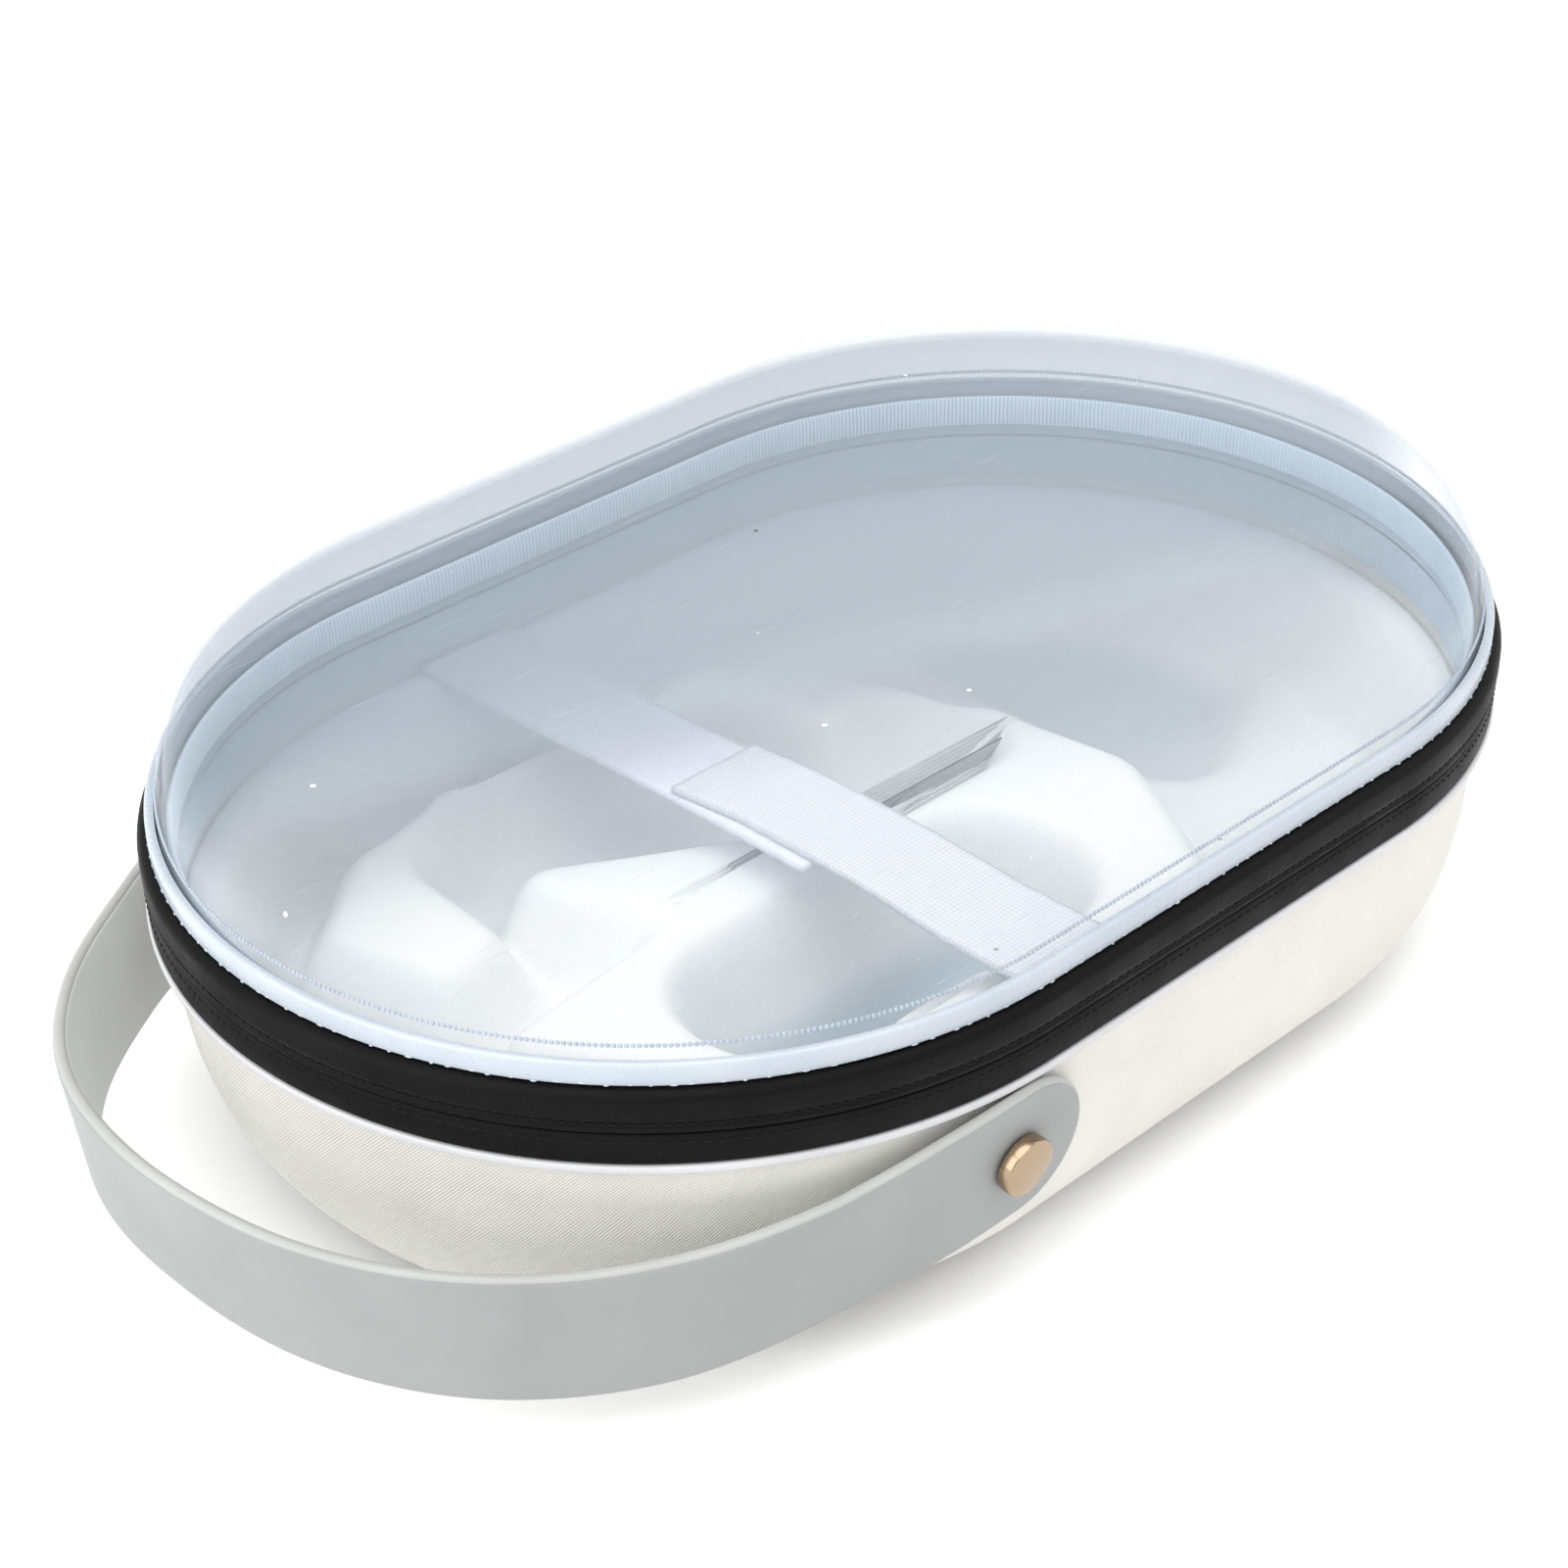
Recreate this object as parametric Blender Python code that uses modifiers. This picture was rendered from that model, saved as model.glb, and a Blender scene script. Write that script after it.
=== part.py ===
"""Oval zip-up case for a VR headset: white shell, clear domed lid and a strap handle.

Metres, +Z up. The origin is the centre of the flat base, +X points away from the
handle and the long sides face -Y and +Y. Every height is measured from the base.
"""
import math

import bmesh
import bpy
from mathutils import Matrix, Vector

# Clearance between neighbouring pieces, and how far a cutter reaches past what it cuts.
GAP = 0.0003
CUT_MARGIN = 0.004

# Plan: a stadium, two round ends joined by straight sides.
HALF_STRAIGHT = 0.054
END_RADIUS = 0.105
ROUND_STEPS = 48

# Lower shell.
ZIP_HEIGHT = 0.066
SHELL_WALL = 0.0034
SIDE_DRAFT = 0.10
HANDLE_END_DRAFT = 0.10
PLAIN_END_DRAFT = 0.07
CORNER_HEIGHT = 0.046
CORNER_WIDTH = 0.042
CORNER_POWER = 2.8
CORNER_STEPS = 7

# Grey lip and black bands at the zip line.
LIP_HEIGHT = 0.0013
LIP_PROUD = 0.0010
LIP_ROUND = 0.0004
ZIP_SPLIT = 0.0003
LOWER_BAND_HEIGHT = 0.0070
LOWER_BAND_PROUD = 0.0008
UPPER_BAND_HEIGHT = 0.0090
UPPER_BAND_PROUD = 0.0013
BAND_ROUND = 0.0015

# Clear lid.
DOME_WALL = 0.0012
DOME_TOP = 0.0372
DOME_SHOULDER = 0.0178
DOME_DRAFT = 0.15
DOME_FLANGE_DROP = 0.0060
DOME_STEPS = 5
RIM_HEIGHT = 0.0048
RIM_WIDTH = 0.0019
RIM_ROUND = 0.0014

# Ribbed tapes inside the edge.
TAPE_HEIGHT = 0.0104
TAPE_THICK = 0.0014

# Moulded tray.
TRAY_WALL = 0.0024
TRAY_LEDGE_DEPTH = 0.0140
TRAY_LEDGE_WIDTH = 0.0120
TRAY_PLATEAU_DEPTH = 0.0220
TRAY_BAY_DEPTH = 0.0440
TRAY_WELL_DEPTH = 0.0500
TRAY_SADDLE_DEPTH = 0.0360
TRAY_DRAFT = 0.12
TRAY_FORM_STEPS = 12
TRAY_FORM_LEAST = 0.001

# Tie-down strap.
STRAP_WIDTH = 0.0255
STRAP_THICK = 0.0016
STRAP_OFFSET = -0.0235
STRAP_LAP_START = -0.022
STRAP_LAP_END = 0.017
STRAP_EASE = 0.030

# Strap handle.
RIVET_X = -0.064
RIVET_DEPTH = 0.0250
HANDLE_WIDTH = 0.0315
HANDLE_THICK = 0.0030
HANDLE_REACH = 0.120
HANDLE_SAG = 0.0115
HANDLE_END = 0.0185
HANDLE_EDGE = 0.0006
HANDLE_TIP = 0.0019
HANDLE_STEPS = 5
HANDLE_END_STEPS = 6

# Rivets.
CAP_RADIUS = 0.0063
CAP_HEIGHT = 0.0030
CAP_EDGE = 0.0004
POST_RADIUS = 0.0022
HEAD_RADIUS = 0.0050
HEAD_HEIGHT = 0.0012
RIVET_STEPS = 20

# Zip slider on the hidden side.
SLIDER_X = 0.060
SLIDER_LENGTH = 0.0120
SLIDER_HEIGHT = 0.0088
SLIDER_DEPTH = 0.0036
PULL_LENGTH = 0.0240
PULL_WIDTH = 0.0080
PULL_THICK = 0.0014
SLIDER_EDGE = 0.0005

# Handle from one rivet to the middle, as shares: reach, side, sag; lean in degrees.
HANDLE_ROWS = (
    {"reach": 0.000, "side": 1.000, "sag": 0.00, "lean": 5.7},
    {"reach": 0.308, "side": 0.917, "sag": 0.63, "lean": 9.0},
    {"reach": 0.575, "side": 0.790, "sag": 1.00, "lean": 5.0},
    {"reach": 0.800, "side": 0.595, "sag": 0.97, "lean": 5.0},
    {"reach": 0.949, "side": 0.329, "sag": 0.78, "lean": 6.7},
    {"reach": 1.000, "side": 0.000, "sag": 0.63, "lean": 8.7},
)

# Lowest level of the tray, which stands on the shell's inner floor.
TRAY_LOW = SHELL_WALL + GAP

# Tray forms, each the hull of a few circles: x, y and radius as shares of the
# tray's half length, half width and half width.
TRAY_RAISED = (
    {"form": "near body", "circles": ((-0.68, -0.14, 0.08), (-0.39, -0.86, 0.06), (0.17, -0.86, 0.06),
                                      (0.33, -0.30, 0.12), (0.30, 0.02, 0.12))},
    {"form": "right arm", "circles": ((0.30, 0.06, 0.13), (0.15, 0.64, 0.09), (0.10, 0.66, 0.08),
                                      (0.20, 0.10, 0.08))},
    {"form": "left arm", "circles": ((-0.70, 0.40, 0.10), (-0.65, 0.18, 0.10), (-0.58, 0.20, 0.09),
                                     (-0.57, 0.56, 0.09))},
    {"form": "left hook", "circles": ((-0.57, 0.56, 0.09), (-0.38, 0.68, 0.05))},
    {"form": "far bar", "circles": ((-0.38, 0.68, 0.05), (0.11, 0.68, 0.05))},
    {"form": "island", "circles": ((-0.43, 0.26, 0.09), (-0.13, -0.04, 0.12), (-0.32, -0.08, 0.08))},
)
TRAY_WELLS = (
    {"form": "controller well", "circles": ((-0.365, -0.39, 0.195), (0.01, -0.39, 0.185)),
     "floor": TRAY_LOW + TRAY_WALL},
    {"form": "face well", "circles": ((0.00, 0.06, 0.12), (0.235, 0.07, 0.11)),
     "floor": ZIP_HEIGHT - TRAY_BAY_DEPTH},
    {"form": "visor well", "circles": ((0.63, 0.56, 0.13), (0.63, -0.12, 0.13), (0.76, 0.32, 0.13),
                                       (0.78, 0.02, 0.13)), "floor": ZIP_HEIGHT - TRAY_WELL_DEPTH},
)
TRAY_SADDLE = ((-0.23, -0.50, 0.07), (-0.05, -0.50, 0.07))

# Mesh making: points closer than this are one, edges sharper than this shade sharp,
# faces flatter than this are joined, and a bend's middle point lies this share in.
SAME_POINT = 1e-6
SHARP_ANGLE = math.radians(35)
FLAT_ANGLE = math.radians(1)
BEND_SHARE = 1.0 - math.sqrt(0.5)

# Levels that follow from the sizes above.
LOWER_BAND_LOW = ZIP_HEIGHT - LOWER_BAND_HEIGHT
LIP_LOW = LOWER_BAND_LOW - GAP - LIP_HEIGHT
SHELL_TOP = LIP_LOW - GAP
LEVEL_WALL = SHELL_WALL * math.hypot(1.0, SIDE_DRAFT + max(HANDLE_END_DRAFT, PLAIN_END_DRAFT))
INNER_RADIUS = END_RADIUS - LEVEL_WALL
TRAY_LEDGE = ZIP_HEIGHT - TRAY_LEDGE_DEPTH
TRAY_PLATEAU = ZIP_HEIGHT - TRAY_PLATEAU_DEPTH
TRAY_BAY = ZIP_HEIGHT - TRAY_BAY_DEPTH
RIVET_HEIGHT = ZIP_HEIGHT - RIVET_DEPTH


def clear_scene():
    """Remove every object, so the part starts from nothing."""
    for item in list(bpy.data.objects):
        bpy.data.objects.remove(item, do_unlink=True)


def new_collection(name):
    """Add a collection to the scene."""
    group = bpy.data.collections.new(name)
    bpy.context.scene.collection.children.link(group)
    return group


def make_material(name, colour, roughness, metallic=0.0, alpha=1.0):
    """A Principled material with the piece's own finish."""
    material = bpy.data.materials.new(name)
    material.use_nodes = True
    shader = material.node_tree.nodes["Principled BSDF"]
    shader.inputs["Base Color"].default_value = (*colour, 1.0)
    shader.inputs["Roughness"].default_value = roughness
    shader.inputs["Metallic"].default_value = metallic
    shader.inputs["Alpha"].default_value = alpha
    return material


def add_object(name, bm, group, material=None):
    """Turn a bmesh into an object of one collection."""
    mesh = bpy.data.meshes.new(name)
    bm.to_mesh(mesh)
    bm.free()
    piece = bpy.data.objects.new(name, mesh)
    group.objects.link(piece)
    if material:
        mesh.materials.append(material)
    mesh.shade_smooth()
    mesh.set_sharp_from_angle(angle=SHARP_ANGLE)
    return piece


def hide_cutter(piece):
    """Mark an object as a cutter, which is no part of the case."""
    piece.hide_render = True
    piece.display_type = "WIRE"
    return piece


def boolean(piece, other, operation):
    """Add one Boolean step to a piece."""
    step = piece.modifiers.new(f"{operation.lower()} {other.name}", "BOOLEAN")
    step.operation = operation
    step.object = other
    step.solver = "EXACT"
    return step


def shell_inset(height):
    """How far the shell's wall stands in from its top edge at a height."""
    straight = max(SHELL_TOP - max(height, CORNER_HEIGHT), 0.0)
    inset = SIDE_DRAFT * straight
    if height < CORNER_HEIGHT:
        share = (CORNER_HEIGHT - height) / CORNER_HEIGHT
        inset += CORNER_WIDTH * (1.0 - (1.0 - share ** CORNER_POWER) ** (1.0 / CORNER_POWER))
    return inset


def shell_radius(height):
    """Outer radius of the shell's round ends at a height."""
    return END_RADIUS - shell_inset(height)


def shell_profile():
    """Outer profile of the shell from the middle of the base to its top edge."""
    points = [(0.0, 0.0)]
    for i in range(CORNER_STEPS + 1):
        turn = 0.5 * math.pi * (1.0 - i / CORNER_STEPS)
        height = CORNER_HEIGHT - CORNER_HEIGHT * math.sin(turn) ** (2.0 / CORNER_POWER)
        inset = CORNER_WIDTH * (1.0 - math.cos(turn) ** (2.0 / CORNER_POWER))
        points.append((shell_radius(CORNER_HEIGHT) - inset, height))
    points.append((END_RADIUS + SIDE_DRAFT * CUT_MARGIN, SHELL_TOP + CUT_MARGIN))
    return points


def rounded_section(r_in, r_out, z_low, z_high, bend):
    """Ring section, from its inner low corner round its outer side, the outer corners rounded."""
    points = [(r_in, z_low)]
    for corner, side in ((z_low, 1), (z_high, -1)):
        arc = [(r_out - bend, corner), (r_out - bend * BEND_SHARE, corner + side * bend * BEND_SHARE),
               (r_out, corner + side * bend)]
        points.extend(arc if side > 0 else arc[::-1])
    points.append((r_in, z_high))
    return points


def turned(name, profile, group, material=None, closed=True, draft=False):
    """Turn a profile about the vertical, then draw its halves apart by the straight sides."""
    bm = bmesh.new()
    verts = [bm.verts.new((radius, 0.0, height)) for radius, height in profile]
    pairs = list(zip(verts, verts[1:]))
    if closed:
        pairs.append((verts[-1], verts[0]))
    edges = [bm.edges.new(pair) for pair in pairs]
    bmesh.ops.rotate(bm, verts=verts, matrix=Matrix.Rotation(math.pi / ROUND_STEPS, 3, "Z"))
    bmesh.ops.spin(bm, geom=verts + edges, axis=(0, 0, 1), angle=math.tau, steps=ROUND_STEPS, use_merge=True)
    bmesh.ops.remove_doubles(bm, verts=bm.verts, dist=SAME_POINT)
    for vert in bm.verts:
        if abs(vert.co.x) < SAME_POINT:
            continue
        fall = SHELL_TOP - vert.co.z if draft else 0.0
        if vert.co.x > 0:
            vert.co.x += HALF_STRAIGHT - PLAIN_END_DRAFT * fall
        else:
            vert.co.x -= HALF_STRAIGHT - HANDLE_END_DRAFT * fall
    bmesh.ops.recalc_face_normals(bm, faces=bm.faces)
    return add_object(name, bm, group, material)


def face_outwards(piece, outward_test):
    """Flip an open surface whose faces point the wrong way."""
    bm = bmesh.new()
    bm.from_mesh(piece.data)
    if not outward_test(bm):
        bmesh.ops.reverse_faces(bm, faces=bm.faces)
    bm.to_mesh(piece.data)
    bm.free()


def points_down(bm):
    """True where the lowest face of an open bowl looks down."""
    low = min(bm.faces, key=lambda face: face.calc_center_median().z)
    return low.normal.z < 0


def points_up(bm):
    """True where the highest face of an open dome looks up."""
    high = max(bm.faces, key=lambda face: face.calc_center_median().z)
    return high.normal.z > 0


def thicken(piece, wall):
    """Give an open surface its wall, inwards."""
    shell = piece.modifiers.new("wall", "SOLIDIFY")
    shell.thickness = wall
    shell.offset = -1.0
    shell.use_even_offset = True
    shell.use_quality_normals = True


def hull_block(name, circles, low, high, draft, grow, group, material=None):
    """Convex block round a few circles, wider at its foot by the draft, or narrower if negative."""
    bm = bmesh.new()
    for height, extra in ((low, draft * (high - low)), (high, 0.0)):
        for x, y, radius in circles:
            size = max(radius + grow + extra, TRAY_FORM_LEAST)
            place = Matrix.Translation((x, y, height))
            bmesh.ops.create_circle(bm, segments=TRAY_FORM_STEPS, radius=size, matrix=place)
    hull = bmesh.ops.convex_hull(bm, input=bm.verts)
    loose = set(hull["geom_interior"] + hull["geom_unused"])
    spare = [item for item in loose if isinstance(item, bmesh.types.BMVert)]
    bmesh.ops.delete(bm, geom=spare, context="VERTS")
    bmesh.ops.dissolve_limit(bm, angle_limit=FLAT_ANGLE, verts=bm.verts, edges=bm.edges)
    bmesh.ops.recalc_face_normals(bm, faces=bm.faces)
    return add_object(name, bm, group, material)


def tray_circles(shares):
    """Circles of a tray form in metres, from their shares of the tray's size."""
    half_width = wall_reach(TRAY_LEDGE)
    half_length = half_width + HALF_STRAIGHT
    return [(x * half_length, y * half_width, radius * half_width) for x, y, radius in shares]


def tray_mould(name, wall, group, cutters, material=None):
    """One half of the tray's mould; wall 0 is its face and the tray's wall is its back."""
    edge = wall_reach(TRAY_LEDGE - TRAY_WALL)
    low = TRAY_LOW - (CUT_MARGIN if wall else 0.0)
    radius = edge + (CUT_MARGIN if wall else 0.0)
    mould = turned(name, stadium_block(radius, low, TRAY_LEDGE - wall), group, material, closed=False,
                   draft=True)
    if wall:
        hide_cutter(mould)
    bay_radius = edge - TRAY_LEDGE_WIDTH + wall
    bay_low = TRAY_BAY - wall
    bay_foot = bay_radius - TRAY_DRAFT * (TRAY_LEDGE - bay_low)
    top = TRAY_LEDGE + CUT_MARGIN
    bay = [(0.0, bay_low), (bay_foot, bay_low), (bay_radius, TRAY_LEDGE), (bay_radius, top), (0.0, top)]
    boolean(mould, hide_cutter(turned(f"{name} bay", bay, cutters, closed=False, draft=True)), "DIFFERENCE")
    for row in TRAY_RAISED:
        block = hull_block(f"{name} {row['form']}", tray_circles(row["circles"]), bay_low - CUT_MARGIN,
                           TRAY_PLATEAU - wall, TRAY_DRAFT, -wall, cutters)
        boolean(mould, hide_cutter(block), "UNION")
    for row in TRAY_WELLS:
        floor = row["floor"] - wall
        if floor <= TRAY_LOW:
            floor = low - CUT_MARGIN
        well = hull_block(f"{name} {row['form']}", tray_circles(row["circles"]), floor, top,
                          -TRAY_DRAFT, wall, cutters)
        boolean(mould, hide_cutter(well), "DIFFERENCE")
    saddle = hull_block(f"{name} saddle", tray_circles(TRAY_SADDLE), low,
                        ZIP_HEIGHT - TRAY_SADDLE_DEPTH - wall, TRAY_DRAFT, -wall, cutters)
    boolean(mould, hide_cutter(saddle), "UNION")
    return mould


def stadium_block(radius, low, high):
    """Profile of a solid stadium block."""
    return [(0.0, low), (radius, low), (radius, high), (0.0, high)]


def make_shell(group, cutters):
    """Hollow lower shell: its outer face thickened inwards, levelled on top and holed for the rivets."""
    cloth = make_material("white_cloth", (0.81, 0.80, 0.76), 0.75)
    shell = turned("base_shell", shell_profile(), group, cloth, closed=False, draft=True)
    face_outwards(shell, points_down)
    thicken(shell, SHELL_WALL)
    above = stadium_block(END_RADIUS + CUT_MARGIN, SHELL_TOP, SHELL_TOP + 2 * CUT_MARGIN)
    level = hide_cutter(turned("shell level", above, cutters, closed=False))
    boolean(shell, level, "DIFFERENCE")
    for side in (-1, 1):
        boolean(shell, rivet_hole("shell", side, cutters), "DIFFERENCE")
    return shell


def make_bands(group):
    """Grey lip and the two black bands that meet at the zip line."""
    grey = make_material("lip_grey", (0.52, 0.52, 0.50), 0.6)
    black = make_material("black_leatherette", (0.018, 0.018, 0.018), 0.55)
    lip = rounded_section(INNER_RADIUS, END_RADIUS + LIP_PROUD, LIP_LOW, LIP_LOW + LIP_HEIGHT, LIP_ROUND)
    turned("shell_lip", lip, group, grey)
    zip_low = ZIP_HEIGHT - ZIP_SPLIT / 2
    zip_high = ZIP_HEIGHT + ZIP_SPLIT / 2
    lower = rounded_section(INNER_RADIUS, END_RADIUS + LOWER_BAND_PROUD, LOWER_BAND_LOW, zip_low,
                            BAND_ROUND)
    turned("lower_band", lower, group, black)
    upper = rounded_section(flange_outer() + GAP, END_RADIUS + UPPER_BAND_PROUD, zip_high,
                            ZIP_HEIGHT + UPPER_BAND_HEIGHT, BAND_ROUND)
    turned("upper_band", upper, group, black)


def flange_outer():
    """Outer radius of the clear lid's flange, which stands on the inner side of the upper band."""
    return INNER_RADIUS + DOME_WALL


def make_lid(group):
    """Clear dome with its flange, and the milky rim round its foot."""
    clear = make_material("clear_plastic", (0.80, 0.85, 0.90), 0.08, alpha=0.35)
    milky = make_material("milky_plastic", (0.70, 0.75, 0.86), 0.35)
    flange = flange_outer()
    rim_low = ZIP_HEIGHT + UPPER_BAND_HEIGHT + GAP
    rim_high = rim_low + RIM_HEIGHT
    top = ZIP_HEIGHT + DOME_TOP
    lean = math.atan(DOME_DRAFT)
    centre_z = top - DOME_SHOULDER
    start_z = centre_z + DOME_SHOULDER * math.sin(lean)
    start_r = flange - DOME_DRAFT * (start_z - rim_high)
    centre_r = start_r - DOME_SHOULDER * math.cos(lean)
    profile = [(flange, rim_low - DOME_FLANGE_DROP), (flange, rim_high)]
    for i in range(DOME_STEPS + 1):
        turn = lean + (0.5 * math.pi - lean) * i / DOME_STEPS
        profile.append((centre_r + DOME_SHOULDER * math.cos(turn),
                        centre_z + DOME_SHOULDER * math.sin(turn)))
    profile.append((0.0, top))
    dome = turned("lid_dome", profile, group, clear, closed=False)
    face_outwards(dome, points_up)
    thicken(dome, DOME_WALL)
    rim = rounded_section(flange + GAP, flange + GAP + RIM_WIDTH, rim_low, rim_high, RIM_ROUND)
    turned("lid_rim", rim, group, milky)


def make_tapes(group):
    """Ribbed tapes that cover the inner edges on both sides of the zip line."""
    tape = make_material("ribbed_tape", (0.70, 0.76, 0.82), 0.8)
    lowest = ZIP_HEIGHT - GAP - TAPE_HEIGHT
    outer = wall_reach(lowest) - max(HANDLE_END_DRAFT, PLAIN_END_DRAFT) * (SHELL_TOP - lowest)
    for name, low in (("lid_binding", ZIP_HEIGHT + GAP), ("base_binding", lowest)):
        high = low + TAPE_HEIGHT
        inner = outer - TAPE_THICK
        section = [(inner, low), (outer, low), (outer, high), (inner, high)]
        turned(name, section, group, tape)


def make_tray(group, cutters):
    """Moulded tray: the face of its mould less the back of its mould."""
    white = make_material("white_moulding", (0.86, 0.87, 0.88), 0.7)
    tray = tray_mould("insert_tray", 0.0, group, cutters, white)
    back = tray_mould("tray back", TRAY_WALL, cutters, cutters)
    boolean(tray, back, "DIFFERENCE")
    return tray


def wall_reach(height):
    """Inner half width of the shell at a height, less the gap."""
    return shell_radius(height) - LEVEL_WALL - GAP


def ribbon(name, route, width, thick, centre_x, group, material):
    """Flat strap along a route of (y, height of its underside), cut across X."""
    bm = bmesh.new()
    bmesh.ops.create_grid(bm, x_segments=1, y_segments=len(route) - 1, size=0.5)
    rows = sorted({round(vert.co.y, 5) for vert in bm.verts})
    for vert in bm.verts:
        y, height = route[rows.index(round(vert.co.y, 5))]
        vert.co = Vector((centre_x + vert.co.x * width, y, height))
    bmesh.ops.recalc_face_normals(bm, faces=bm.faces)
    piece = add_object(name, bm, group, material)
    face_outwards(piece, points_up)
    sheet = piece.modifiers.new("thickness", "SOLIDIFY")
    sheet.thickness = thick
    sheet.offset = 1.0
    sheet.use_even_offset = True
    return piece


def make_tie_down(group):
    """Two halves of the tie-down strap: the near half lies on the far half."""
    woven = make_material("hook_and_loop", (0.77, 0.79, 0.86), 0.85)
    low = TRAY_LEDGE + GAP
    lap = low + STRAP_THICK + GAP
    reach = wall_reach(low)
    far_route = [(STRAP_LAP_START, low), (STRAP_LAP_END, low), (reach - STRAP_EASE, low), (reach, low)]
    near_route = [(-reach, low), (STRAP_LAP_START - 2 * STRAP_EASE, low),
                  (STRAP_LAP_START - STRAP_EASE / 3, lap), (STRAP_LAP_END, lap)]
    ribbon("strap_far", far_route, STRAP_WIDTH, STRAP_THICK, STRAP_OFFSET, group, woven)
    ribbon("strap_near", near_route, STRAP_WIDTH, STRAP_THICK, STRAP_OFFSET, group, woven)


def wall_fall(x, height):
    """How far the shell's round handle end has turned in from its flat side at x."""
    radius = shell_radius(height)
    past = max(-x - HALF_STRAIGHT + HANDLE_END_DRAFT * (SHELL_TOP - height), 0.0)
    return radius - math.sqrt(radius ** 2 - past ** 2)


def handle_side():
    """Distance of the handle's middle plane from the long axis where it lies on the shell."""
    return shell_radius(RIVET_HEIGHT) + GAP + HANDLE_THICK / 2


def handle_route():
    """Points along the handle's middle, from the near end round to the far end."""
    side = handle_side()
    near = []
    for row in HANDLE_ROWS:
        place = Vector((RIVET_X - HANDLE_REACH * row["reach"], -side * row["side"],
                        RIVET_HEIGHT - HANDLE_SAG * row["sag"]))
        near.append((place, row["lean"]))
    far = [(Vector((place.x, -place.y, place.z)), lean) for place, lean in near[:-1]]
    return near + far[::-1]


def hermite(first, second, start_slope, end_slope, share):
    """Point on the cubic between two points with given slopes."""
    square = share * share
    cube = square * share
    return (first * (2 * cube - 3 * square + 1) + start_slope * (cube - 2 * square + share)
            + second * (3 * square - 2 * cube) + end_slope * (cube - square))


def smooth_route(knots, steps):
    """Even run of points and leans through the knots, leaving both ends along X."""
    points = [knot[0] for knot in knots]
    slopes = [(after - before) / 2 for before, after in zip(points, points[2:])]
    start = Vector((-1, 0, 0)) * (points[1] - points[0]).length
    end = Vector((1, 0, 0)) * (points[-1] - points[-2]).length
    slopes = [start] + slopes + [end]
    route = []
    for i in range(len(knots) - 1):
        for k in range(steps):
            share = k / steps
            place = hermite(points[i], points[i + 1], slopes[i], slopes[i + 1], share)
            lean = knots[i][1] * (1 - share) + knots[i + 1][1] * share
            route.append((place, lean))
    route.append(knots[-1])
    return route


def handle_sections():
    """Centre, direction, lean and width of each section of the handle."""
    route = smooth_route(handle_route(), HANDLE_STEPS)
    head = [HANDLE_END * math.cos(0.5 * math.pi * i / HANDLE_END_STEPS) for i in range(HANDLE_END_STEPS)]
    near = [(route[0][0] + Vector((back, 0, 0)), route[0][1]) for back in head]
    far = [(route[-1][0] + Vector((back, 0, 0)), route[-1][1]) for back in head[::-1]]
    full = near + route + far
    sections = []
    for i, (place, lean) in enumerate(full):
        before = full[max(i - 1, 0)][0]
        after = full[min(i + 1, len(full) - 1)][0]
        along = (after - before).normalized()
        beyond = min(abs(place.x - RIVET_X), HANDLE_END) if place.x > RIVET_X else 0.0
        round_start = HANDLE_END - HANDLE_WIDTH / 2
        past = max(beyond - round_start, 0.0)
        half = math.sqrt(max((HANDLE_WIDTH / 2) ** 2 - past ** 2, HANDLE_TIP ** 2))
        sections.append((place, along, math.radians(lean), half))
    return sections


def make_handle(group, cutters):
    """Strap handle: one loft of flat sections with softened edges, holed for its rivets."""
    rubber = make_material("grey_rubber", (0.43, 0.44, 0.44), 0.5)
    bm = bmesh.new()
    loops = []
    half_thick = HANDLE_THICK / 2
    for place, along, lean, half in handle_sections():
        up = (Vector((0, 0, 1)) - along * along.z).normalized()
        out = along.cross(up)
        if out.dot(place - Vector((RIVET_X, 0, place.z))) < 0:
            out = -out
        rise = up * math.cos(lean) + out * math.sin(lean)
        face = out * math.cos(lean) - up * math.sin(lean)
        outline = ((-half, -half_thick + HANDLE_EDGE), (-half, half_thick - HANDLE_EDGE),
                   (-half + HANDLE_EDGE, half_thick), (half - HANDLE_EDGE, half_thick),
                   (half, half_thick - HANDLE_EDGE), (half, -half_thick + HANDLE_EDGE),
                   (half - HANDLE_EDGE, -half_thick), (-half + HANDLE_EDGE, -half_thick))
        loops.append([bm.verts.new(place + rise * across + face * deep) for across, deep in outline])
    count = len(loops[0])
    for first, second in zip(loops, loops[1:]):
        for i in range(count):
            j = (i + 1) % count
            bm.faces.new((first[i], first[j], second[j], second[i]))
    bm.faces.new(loops[0])
    bm.faces.new(loops[-1])
    bmesh.ops.recalc_face_normals(bm, faces=bm.faces)
    handle = add_object("handle_strap", bm, group, rubber)
    for side in (-1, 1):
        boolean(handle, rivet_hole("handle", side, cutters), "DIFFERENCE")
    return handle


def rivet_frame(side):
    """Place and turn of a rivet: its axis stands square on the drafted wall, pointing out."""
    lean = math.atan(SIDE_DRAFT)
    axis = Vector((0, side * math.cos(lean), -math.sin(lean)))
    seat = Vector((RIVET_X, side * shell_radius(RIVET_HEIGHT), RIVET_HEIGHT))
    return Matrix.Translation(seat) @ axis.to_track_quat("Z", "Y").to_matrix().to_4x4()


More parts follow.
